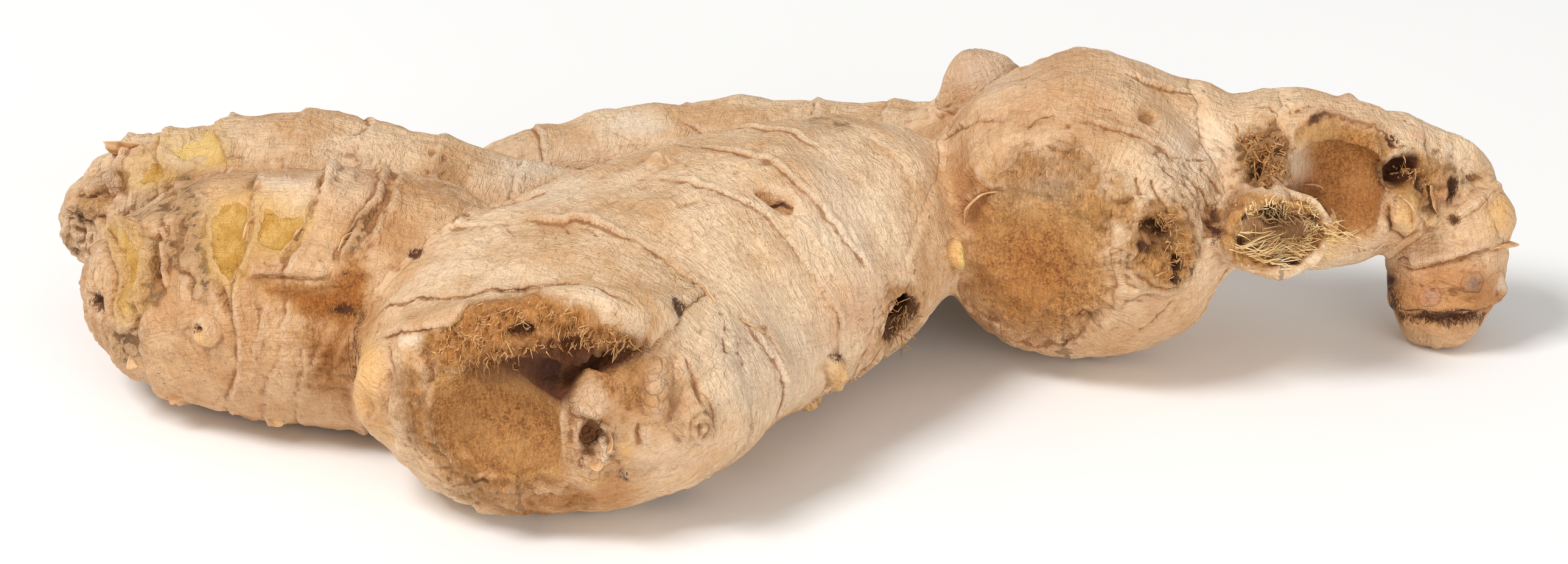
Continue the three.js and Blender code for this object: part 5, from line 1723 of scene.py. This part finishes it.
class Graph:
    """Short ways to add shader nodes to a tree. A value is a number or another node's output."""

    def __init__(self, tree: bpy.types.NodeTree) -> None:
        """Keeps the tree."""
        self.tree = tree

    def add(self, kind: str, inputs: dict | None = None, **settings: object) -> bpy.types.Node:
        """Adds a node.

        Args:
            kind: The node's type, without its ShaderNode prefix.
            inputs: What each input holds, a value or another node's output.
            **settings: The node's own settings.

        Returns:
            The node.
        """
        node = self.tree.nodes.new("ShaderNode" + kind)
        for name, value in settings.items():
            setattr(node, name, value)
        for name, value in (inputs or {}).items():
            self.feed(node.inputs[name], value)
        return node

    def feed(self, socket: Socket, value: object) -> None:
        """Links a socket to an output, or sets its value.

        Args:
            socket: The input.
            value: An output, or a plain value.
        """
        if isinstance(value, Socket):
            self.tree.links.new(value, socket)
        else:
            socket.default_value = value

    def math(self, operation: str, *values: object) -> Socket:
        """One sum, such as MAXIMUM or SUBTRACT."""
        return self.add("Math", dict(enumerate(values)), operation=operation).outputs[0]

    def times(self, first: object, *others: object) -> Socket:
        """The product of some values."""
        return reduce(lambda so_far, value: self.math("MULTIPLY", so_far, value), others, first)

    def plus(self, first: object, *others: object) -> Socket:
        """The sum of some values."""
        return reduce(lambda so_far, value: self.math("ADD", so_far, value), others, first)

    def off(self, value: object, middle: float) -> Socket:
        """How far a value lies from a middle, on either side."""
        return self.math("ABSOLUTE", self.math("SUBTRACT", value, middle))

    def sway(self, pattern: object, reach: float) -> Socket:
        """A pattern of 0 to 1 as a shift to both sides of 0."""
        return self.times(self.math("SUBTRACT", pattern, 0.5), reach)

    def ramp(self, value: object, low: object, high: object, to_low: float = 0.0,
             to_high: float = 1.0) -> Socket:
        """A smooth step of a value from low to high."""
        inputs = {"Value": value, "From Min": low, "From Max": high, "To Min": to_low, "To Max": to_high}
        return self.add("MapRange", inputs, interpolation_type="SMOOTHSTEP").outputs[0]

    def blend(self, share: object, first: object, second: object, kind: str = "MIX") -> Socket:
        """Two colours mixed by a share."""
        node = self.add("Mix", {0: share, 6: first, 7: second}, data_type="RGBA", blend_type=kind)
        return node.outputs[2]

    def coats(self, base: Socket, *layers: tuple[object, object]) -> Socket:
        """Lays coats over a colour, each by its share, in the order given."""
        return reduce(lambda so_far, layer: self.blend(layer[0], so_far, layer[1]), layers, base)

    def field(self, name: str) -> Socket:
        """A number stored on the mesh's points."""
        return self.add("Attribute", attribute_name=name).outputs["Fac"]

    def place(self, scale: float | tuple[float, ...]) -> Socket:
        """The object's own coordinates in millimetres, divided by a length or one for each axis.

        Args:
            scale: The length in mm, or three for x, y and z.

        Returns:
            The vector's output.
        """
        at = self.add("TexCoord").outputs["Object"]
        steps = scale if isinstance(scale, tuple) else (scale,) * 3
        size = tuple(1 / MM / step for step in steps)
        return self.add("VectorMath", {0: at, 1: size}, operation="MULTIPLY").outputs[0]

    def grain(self, along: float, across: float) -> Socket:
        """The coordinates that follow each lobe, divided by a length along it and one across.

        Args:
            along: The length along the lobe, in mm.
            across: The one across it.

        Returns:
            The vector's output.
        """
        at = self.add("Attribute", attribute_name="grain").outputs["Vector"]
        size = (1 / along, 1 / across, 1.0)
        return self.add("VectorMath", {0: at, 1: size}, operation="MULTIPLY").outputs[0]

    def cover(self, name: str, pattern: object, rough: float, low: float = 0.4,
              high: float = 0.58) -> Socket:
        """Where a stored field covers the skin, with its edge broken up by a pattern.

        Args:
            name: The field.
            pattern: The pattern, from 0 to 1.
            rough: How strongly the pattern shifts the edge.
            low: Where the cover starts.
            high: Where it is full.

        Returns:
            The share covered, from 0 to 1.
        """
        return self.ramp(self.plus(self.field(name), self.sway(pattern, rough)), low, high)

    def freckles(self, group: bpy.types.NodeTree, vector: object, share: object,
                 radius: float = 0.2) -> Socket:
        """Where the dots of a group are."""
        inputs = {"Vector": vector, "Radius": radius, "Share": share}
        return self.add("Group", inputs, node_tree=group).outputs["Mask"]

    def noise_colour(self, vector: object, twist: float) -> Socket:
        """Noise with three parts, times a number: a shift that bends other patterns."""
        made = self.add("TexNoise", {"Vector": vector, "Scale": 1.0, "Detail": 2.0}).outputs["Color"]
        return self.add("VectorMath", {0: made, "Scale": twist}, operation="SCALE").outputs[0]

    def noise(self, vector: object, detail: float = 2.0, rough: float = 0.5,
              twist: float = 0.0) -> Socket:
        """Noise of scale 1 at a vector.

        Args:
            vector: Where it is read.
            detail: How many finer layers it has.
            rough: How strong the finer ones are.
            twist: How far it is bent by itself.

        Returns:
            A value of 0 to 1.
        """
        inputs = {"Vector": vector, "Scale": 1.0, "Detail": detail, "Roughness": rough,
                  "Distortion": twist}
        return self.add("TexNoise", inputs).outputs["Fac"]


def new_material(name: str) -> tuple[bpy.types.Material, Graph, bpy.types.Node]:
    """A material with a shader and its output.

    Args:
        name: The material's name.

    Returns:
        The material, its graph and its shader node.
    """
    material = bpy.data.materials.new(name)
    material.use_nodes = True
    tree = material.node_tree
    tree.nodes.clear()
    graph = Graph(tree)
    shader = graph.add("BsdfPrincipled")
    graph.add("OutputMaterial", {"Surface": shader.outputs[0]})
    return material, graph, shader


def freckle_group() -> bpy.types.NodeTree:
    """A node group: small round dots scattered over a surface.

    Returns:
        The group, with a vector, the dots' radius and how many there are as inputs.
    """
    tree = bpy.data.node_groups.new("freckles", "ShaderNodeTree")
    tree.interface.new_socket("Vector", in_out="INPUT", socket_type="NodeSocketVector")
    for name, value in (("Radius", 0.15), ("Share", 0.4)):
        socket = tree.interface.new_socket(name, in_out="INPUT", socket_type="NodeSocketFloat")
        socket.default_value = value
    tree.interface.new_socket("Mask", in_out="OUTPUT", socket_type="NodeSocketFloat")
    graph = Graph(tree)
    source = tree.nodes.new("NodeGroupInput").outputs
    cells = graph.add("TexVoronoi", {"Vector": source["Vector"], "Scale": 1.0, "Randomness": 1.0})
    chance = graph.add("SeparateColor", {0: cells.outputs["Color"]}).outputs[0]
    size = graph.times(source["Radius"], graph.plus(chance, 0.5))
    dot = graph.ramp(cells.outputs["Distance"], size, graph.times(size, 0.4))
    kept = graph.math("LESS_THAN", chance, source["Share"])
    out = tree.nodes.new("NodeGroupOutput")
    tree.links.new(graph.times(dot, kept), out.inputs["Mask"])
    return tree


class SkinPatterns:
    """The patterns and masks that the skin's colours and its relief share."""

    def __init__(self, g: Graph, freckles: bpy.types.NodeTree) -> None:
        """Adds their nodes.

        Args:
            g: The material's graph.
            freckles: The node group of dots.
        """
        self.mottle = g.noise(g.place(9.0), 3.0, 0.6)
        self.fine = g.noise(g.place(0.28), 2.0, 0.6)
        self.grit = g.noise(g.place(0.8), 3.0, 0.6)
        self.streak = g.noise(g.grain(4.0, 0.45), 3.0, 0.6)
        self.crinkle = g.times(g.off(g.noise(g.grain(0.9, 2.2), 3.0, 0.6, 0.8), 0.5), 4.0)
        self.thread = g.noise(g.place((0.2, 0.3, 0.9)), 2.0, 0.6, 1.5)
        strand = g.times(g.off(g.noise(g.place((0.35, 0.5, 1.5)), 3.0, 0.6, 1.2), 0.5), 4.0)
        lumps = g.noise(g.place(0.9), 4.0, 0.65, 0.4)
        self.fibre = g.blend(0.5, lumps, g.math("SUBTRACT", 1.0, strand))
        self.whole = g.ramp(g.field("seam"), 0.1, 0.6, 1.0, 0.0)
        bend = g.noise_colour(g.place(0.9), 0.7)
        bent = g.add("VectorMath", {0: g.place(1.5), 1: bend}, operation="ADD")
        cells = {"Vector": bent.outputs[0], "Scale": 1.0}
        self.chip_edge = g.add("TexVoronoi", cells, feature="DISTANCE_TO_EDGE").outputs[0]
        self.chip = g.add("SeparateColor", {0: g.add("TexVoronoi", cells).outputs["Color"]}).outputs[0]
        crowd = g.ramp(g.noise(g.place(14.0), 1.0), 0.42, 0.7, 0.12, 0.8)
        self.dots = g.times(g.freckles(freckles, g.grain(1.3, 0.5), crowd), self.whole)
        self.pores = g.freckles(freckles, g.place(0.55), crowd)
        self.crumbly = g.cover("crumbly", self.grit, 0.6, 0.2, 0.8)
        self.stained = g.cover("stained", self.grit, 0.5, 0.15, 0.85)
        self.torn = g.cover("torn", g.blend(0.4, self.fibre, self.thread), 0.8, 0.25, 0.75)
        self.edge = g.plus(g.field("peeled"), g.sway(self.grit, 0.5))
        self.peeled = g.ramp(self.edge, -0.05, 0.06)
        self.bud = g.ramp(g.field("bud"), 0.2, 0.8, 0.0, 0.8)


@dataclass(frozen=True)
class SkinFinish:
    """The dry, papery skin, with what shows where it is peeled, torn or dirty, and with painted shade and
    painted highlights.

    Each lay method takes the graph, the shared patterns and the colour so far, and gives the
    colour with its own coats over it.
    """

    light: Colour = colour(239, 206, 168)
    tan: Colour = colour(216, 172, 126)
    # ochre is also painted shade in the valleys
    ochre: Colour = colour(190, 138, 86)
    # brown lies above all on the hanging right finger, where it is partly painted shade
    brown: Colour = colour(150, 98, 58)
    # tint is also multiplied in as painted shade where the skin is shut in
    tint: Colour = colour(212, 172, 112)
    # line is also painted shade in hollows
    line: Colour = colour(134, 78, 38)
    # dark is also the strongest painted shade in holes
    dark: Colour = colour(72, 34, 12)
    flesh: Colour = colour(194, 142, 60)
    flesh_light: Colour = colour(214, 168, 92)
    flesh_pale: Colour = colour(246, 208, 132)
    torn_light: Colour = colour(230, 168, 98)
    torn_dark: Colour = colour(156, 94, 40)
    stain_light: Colour = colour(210, 158, 96)
    stain_dark: Colour = colour(148, 98, 50)
    stain_pale: Colour = colour(218, 172, 114)
    mould: Colour = colour(104, 80, 54)
    mould_light: Colour = colour(160, 118, 72)
    # painted shade where the skin is shut in
    painted_shade_brown: Colour = colour(150, 88, 40)
    # pale is also a painted highlight on the rises
    pale: Colour = colour(238, 216, 190)
    warm: Colour = colour(222, 160, 128)
    bud: Colour = colour(226, 190, 104)
    amber: Colour = colour(232, 180, 112)
    # painted shade in holes and between fold ridges
    deep: Colour = colour(88, 40, 10)
    dry_roughness: float = 0.62
    moist_roughness: float = 0.36  # of flesh and buds
    depth_of_light: tuple[float, float, float] = (0.0014, 0.0007, 0.0003)  # metres
    bump: float = 0.8

    def build(self, freckles: bpy.types.NodeTree) -> bpy.types.Material:
        """Makes the material.

        Args:
            freckles: The node group of dots.

        Returns:
            The material.
        """
        material, g, shader = new_material("ginger_skin")
        p = SkinPatterns(g, freckles)
        base = self.lay_paper(g, p)
        coats = (self.lay_rings, self.lay_scars, self.lay_tones, self.lay_shade, self.lay_flesh,
                 self.lay_cracks)
        for lay in coats:
            base = lay(g, p, base)
        g.feed(shader.inputs["Base Color"], base)
        moist = g.math("MAXIMUM", p.peeled, p.bud)
        roughness = g.ramp(moist, 0.0, 1.0, self.dry_roughness, self.moist_roughness)
        g.feed(shader.inputs["Roughness"], roughness)
        shader.inputs["Subsurface Weight"].default_value = 0.05
        shader.inputs["Subsurface Radius"].default_value = self.depth_of_light
        shader.inputs["Subsurface Scale"].default_value = 1.0
        shader.inputs["Specular IOR Level"].default_value = 0.35
        bump = g.add("Bump", {"Strength": self.bump, "Distance": MM, "Height": self.relief(g, p)})
        g.feed(shader.inputs["Normal"], bump.outputs[0])
        return material

    def lay_paper(self, g: Graph, p: SkinPatterns) -> Socket:
        """The papery skin itself, with its chips, wrinkles and dots.

        Args:
            g: The graph.
            p: The shared patterns.

        Returns:
            The paper's colour.
        """
        chips = g.plus(g.times(p.chip, 0.5), g.ramp(p.grit, 0.4, 0.62, 0.0, 0.5))
        gap = g.ramp(p.chip_edge, 0.05, 0.0, 0.0, 0.25)
        chipped = g.blend(gap, g.blend(chips, self.tan, self.light), self.ochre)
        return g.coats(
            g.blend(g.ramp(p.mottle, 0.38, 0.66), self.light, self.tan),
            (g.times(g.ramp(p.streak, 0.5, 0.8, 0.0, 0.45), p.whole), self.ochre),
            (g.ramp(p.grit, 0.52, 0.76, 0.0, 0.6), self.ochre),
            (g.ramp(p.grit, 0.44, 0.26, 0.0, 0.5), self.light),
            (g.times(p.crumbly, 0.8), chipped),
            (g.times(g.ramp(p.crinkle, 0.2, 0.0, 0.0, 0.2), p.whole), self.ochre),
            (g.times(p.dots, 0.62), self.line),
            (g.times(p.pores, 0.35), self.ochre),
        )

    def lay_rings(self, g: Graph, p: SkinPatterns, base: Socket) -> Socket:
        """A dark line, partly the ring's own brown and partly painted shadow at the foot of its rim, a pale
        crest and a brown halo along each leaf ring.

        Args:
            g: The graph.
            p: The shared patterns.
            base: The colour so far.

        Returns:
            The colour with these coats over it.
        """
        foot = g.plus(g.field("ring"), g.sway(p.grit, 0.9))
        broken = g.times(g.ramp(g.noise(g.place(4.0)), 0.35, 0.6, 0.15), p.whole)
        power = g.times(g.field("ring_dark"), broken)
        return g.coats(
            base,
            (g.times(g.ramp(g.off(foot, -0.25), 0.24, 0.04), power), self.line),
            (g.times(g.ramp(g.off(foot, 0.45), 0.35, 0.05, 0.0, 0.22), broken), self.pale),
            (g.times(g.ramp(g.off(foot, -0.1), 1.8, 0.1, 0.0, 0.5), power), self.ochre),
        )

    def lay_scars(self, g: Graph, p: SkinPatterns, base: Socket) -> Socket:
        """Scars that healed smooth and brown, and torn fibre.

        Args:
            g: The graph.
            p: The shared patterns.
            base: The colour so far.

        Returns:
            The colour with these coats over it.
        """
        speck = g.plus(g.times(p.fine, 0.6), g.times(p.grit, 0.4))
        stain = g.blend(g.ramp(speck, 0.4, 0.66), self.stain_light, self.stain_dark)
        cloud = g.ramp(g.noise(g.place(6.0), 3.0), 0.4, 0.66, 0.0, 0.6)
        weave = g.plus(g.times(p.fibre, 0.5), g.times(p.thread, 0.5))
        torn = g.blend(g.ramp(weave, 0.22, 0.66), self.torn_dark, self.torn_light)
        return g.coats(base, (p.stained, g.blend(cloud, stain, self.stain_pale)), (p.torn, torn))

    def lay_tones(self, g: Graph, p: SkinPatterns, base: Socket) -> Socket:
        """Brown, pale and warm areas, the brown partly painted shade and the pale partly painted light, and
        mould.

        Args:
            g: The graph.
            p: The shared patterns; not used here.
            base: The colour so far.

        Returns:
            The colour with these coats over it.
        """
        spotted = g.ramp(g.field("mould"), 0.1, 0.8, 0.0, 0.9)
        sunk = g.plus(g.times(g.field("hollow"), 0.16), g.times(g.field("valley"), 0.14))
        specks = g.ramp(g.plus(g.noise(g.place(0.9), 4.0, 0.7), sunk), 0.46, 0.6)
        return g.coats(
            g.blend(g.math("MINIMUM", g.field("tan"), 1.0), base, self.tint, "MULTIPLY"),
            # brown where tan is highest, mostly the hanging right finger: partly painted shade
            (g.ramp(g.field("tan"), 0.8, 2.0), self.brown),
            (g.ramp(g.field("pale"), 0.1, 0.9, 0.0, 0.8), self.pale),
            (g.times(g.field("warm"), 0.5), self.warm),
            (g.times(spotted, 0.6), self.mould_light),
            (g.times(specks, spotted), self.mould),
        )

    def lay_shade(self, g: Graph, p: SkinPatterns, base: Socket) -> Socket:
        """Painted shade, brown where the skin is shut in, hollow or in a valley, and a painted highlight,
        pale on the rises.

        Args:
            g: The graph.
            p: The shared patterns.
            base: The colour so far.

        Returns:
            The colour with these coats over it.
        """
        # how shut in each point is; it drives the painted shade
        shut = g.plus(g.field("shelter"), g.sway(p.mottle, 0.3))
        clear = g.ramp(g.field("stained"), 0.2, 0.8, 1.0, 0.25)
        clear = g.times(clear, g.ramp(p.torn, 0.0, 1.0, 1.0, 0.35))
        hollow = g.ramp(g.plus(g.field("hollow"), g.times(p.grit, 0.4)), 0.4, 1.2, 0.0, 0.7)
        # painted highlight on the rises, weaker on brown skin
        painted_highlight = g.ramp(g.field("hollow"), -0.2, -1.0, 0.0, 0.28)
        painted_highlight = g.times(painted_highlight, g.ramp(g.field("tan"), 0.0, 1.0, 1.0, 0.15))
        # painted shade where shut in; painted shade in hollows, painted highlight on rises and painted
        # shade in valleys, these three weaker on stains and torn fibre
        return g.coats(
            g.blend(g.ramp(shut, 0.0, 0.6, 0.0, 0.35), base, self.tint, "MULTIPLY"),
            (g.ramp(shut, 0.3, 0.95, 0.0, 0.8), self.painted_shade_brown),
            (g.times(hollow, clear), self.line),
            (g.times(painted_highlight, clear), self.pale),
            (g.times(g.ramp(g.field("valley"), 0.1, 1.0, 0.0, 0.7), clear), self.ochre),
        )

    def lay_flesh(self, g: Graph, p: SkinPatterns, base: Socket) -> Socket:
        """Peeled flesh with its cut edge, painted shade in holes and between fold ridges, and buds.

        Args:
            g: The graph.
            p: The shared patterns.
            base: The colour so far.

        Returns:
            The colour with these coats over it.
        """
        flesh = g.blend(g.ramp(g.noise(g.place(3.0)), 0.4, 0.65), self.flesh, self.flesh_light)
        return g.coats(
            base,
            (g.ramp(p.edge, -2.2, 0.0, 0.0, 0.6), self.flesh_light),
            (g.ramp(g.off(p.edge, -0.1), 0.13, 0.02, 0.0, 0.14), self.pale),
            (p.peeled, g.blend(g.ramp(g.field("pale"), 0.2, 1.0, 0.0, 0.8), flesh, self.flesh_pale)),
            # painted shade, near black where it is strongest
            (g.ramp(g.field("deep"), 0.05, 0.9, 0.0, 0.94), self.deep),
            (g.ramp(g.field("deep"), 1.0, 2.0, 0.0, 0.9), self.dark),
            (p.bud, g.blend(g.ramp(g.field("bud"), 0.75, 1.0), self.amber, self.bud)),
        )

    def lay_cracks(self, g: Graph, p: SkinPatterns, base: Socket) -> Socket:
        """Cracks with a brown halo, their dark lines partly painted shadow, as under the lip; and dark
        spots, partly grime and partly painted shade in small pits.

        Args:
            g: The graph.
            p: The shared patterns.
            base: The colour so far.

        Returns:
            The colour with these coats over it.
        """
        near = g.math("ABSOLUTE", g.plus(g.field("crack"), g.sway(p.grit, 0.3)))
        power = g.field("crack_dark")
        ink = g.blend(g.ramp(power, 0.5, 1.0), self.line, self.dark)
        return g.coats(
            base,
            (g.times(g.ramp(near, 0.7, 0.1, 0.0, 0.45), power), self.ochre),
            (g.times(g.ramp(near, 0.16, 0.03), power), ink),
            # dark spots: grime, and painted shade in small pits and holes
            (g.times(g.cover("dirt_and_pit_shade", p.fibre, 0.8), 0.9), self.dark),
        )

    def relief(self, g: Graph, p: SkinPatterns) -> Socket:
        """The fine relief's height, in mm.

        Args:
            g: The graph.
            p: The shared patterns.

        Returns:
            The height's output.
        """
        creased = g.plus(g.times(p.streak, 0.5), g.times(g.math("MINIMUM", p.crinkle, 0.8), 0.28))
        smooth = g.ramp(g.math("MAXIMUM", p.torn, p.stained), 0.0, 1.0, 1.0, 0.1)
        chips = g.plus(g.times(p.chip, 0.5), g.ramp(p.chip_edge, 0.0, 0.12, 0.0, 0.3))
        return g.plus(
            g.times(creased, smooth, p.whole),
            g.times(p.grit, 0.6),
            g.times(chips, p.crumbly),
            g.times(p.fibre, g.plus(p.torn, g.times(p.stained, 0.4)), 0.8),
            g.times(p.peeled, -0.12),
            g.times(p.dots, -0.05),
        )


@dataclass(frozen=True)
class DryFinish:
    """Dead, dry plant fibre: strands and papery scraps."""

    name: str
    light: Colour
    dark: Colour
    roughness: float = 0.75

    def build(self, freckles: bpy.types.NodeTree) -> bpy.types.Material:
        """Makes the material.

        Args:
            freckles: The node group of dots.

        Returns:
            The material.
        """
        material, g, shader = new_material(self.name)
        base = g.blend(g.ramp(g.noise(g.place(1.6), 3.0, 0.6), 0.36, 0.64), self.dark, self.light)
        dots = g.freckles(freckles, g.place(0.7), 0.3)
        g.feed(shader.inputs["Base Color"], g.coats(base, (g.times(dots, 0.4), self.dark)))
        shader.inputs["Roughness"].default_value = self.roughness
        shader.inputs["Specular IOR Level"].default_value = 0.3
        bump = g.add("Bump", {"Strength": 0.5, "Distance": 0.1 * MM, "Height": g.noise(g.place(0.35))})
        g.feed(shader.inputs["Normal"], bump.outputs[0])
        return material


@dataclass(frozen=True)
class FloorFinish:
    """Plain matt paper."""

    shade: Colour = colour(250, 250, 249)
    grain: Colour = colour(248, 248, 247)

    def build(self) -> bpy.types.Material:
        """Makes the material.

        Returns:
            The material.
        """
        material, g, shader = new_material("floor_paper")
        g.feed(shader.inputs["Base Color"], g.blend(g.noise(g.place(40.0)), self.shade, self.grain))
        shader.inputs["Roughness"].default_value = 0.9
        return material


# ---------------------------------------------------------------- the studio


@dataclass(frozen=True)
class Studio:
    """The floor, the lamps and the pale room."""

    floor_width: float = 3.0  # metres
    floor_drop: float = 0.0002
    key: tuple[float, float, float] = (-0.5, -0.35, 0.85)  # where the lamps hang, in metres
    fill: tuple[float, float, float] = (0.55, -0.95, 0.22)
    room: Colour = (1.0, 0.99, 0.97, 1.0)
    room_light: float = 0.49

    def build(self) -> None:
        """Adds the studio to the scene."""
        self.add_floor()
        self.add_lamp("key", self.key, 0.34, 7.6)
        self.add_lamp("fill", self.fill, 0.7, 5.8)
        world = bpy.data.worlds.new("room")
        world.use_nodes = True
        light = world.node_tree.nodes["Background"].inputs
        light["Color"].default_value = self.room
        light["Strength"].default_value = self.room_light
        bpy.context.scene.world = world
        bpy.context.scene.view_settings.view_transform = "Standard"

    def add_floor(self) -> None:
        """A plain sheet that the hand lies on."""
        sheet = bmesh.new()
        bmesh.ops.create_grid(sheet, x_segments=1, y_segments=1, size=self.floor_width / 2)
        bmesh.ops.translate(sheet, verts=sheet.verts, vec=(0, 0, -self.floor_drop))
        mesh = bpy.data.meshes.new("floor")
        sheet.to_mesh(mesh)
        sheet.free()
        floor = bpy.data.objects.new("floor", mesh)
        mesh.materials.append(FloorFinish().build())
        bpy.context.scene.collection.objects.link(floor)

    def add_lamp(self, name: str, place: tuple[float, float, float], size: float, power: float) -> None:
        """A square lamp that looks at the hand.

        Args:
            name: The lamp's name.
            place: Where it hangs, in metres.
            size: Its side, in metres.
            power: Its power in watts.
        """
        data = bpy.data.lights.new(name, "AREA")
        data.size = size
        data.energy = power
        lamp = bpy.data.objects.new(name, data)
        lamp.location = place
        lamp.rotation_euler = (-Vector(place)).to_track_quat("-Z", "Y").to_euler()
        bpy.context.scene.collection.objects.link(lamp)


def main() -> None:
    """Builds the hand and the studio."""
    logging.basicConfig(level=logging.INFO, format="%(name)s: %(message)s")
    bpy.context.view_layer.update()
    camera = StudioCamera()
    camera.build()
    freckles = freckle_group()
    skin = Skin(camera).build()
    skin.data.materials.append(SkinFinish().build(freckles))
    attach(skin, "root")
    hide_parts(NODE)
    sight = Sight(skin, camera)
    straw = DryFinish("dry_fibre", colour(216, 168, 112), colour(166, 112, 62)).build(freckles)
    fresh = DryFinish("fresh_fibre", colour(250, 224, 172), colour(222, 178, 114)).build(freckles)
    paper = DryFinish("dry_scale", colour(228, 190, 144), colour(190, 140, 92)).build(freckles)
    for maker, finish in (
        (Fibres("torn_fibres", TORN_FIBRES, 51), straw),
        (Fibres("stub_fibres", STUB_FIBRES, 52), fresh),
        (Flakes("scale_scraps", FLAKES, 53), paper),
    ):
        piece = maker.build(sight)
        piece.data.materials.append(finish)
        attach(piece, "root")
    Studio().build()


if __name__ == "__main__":
    main()
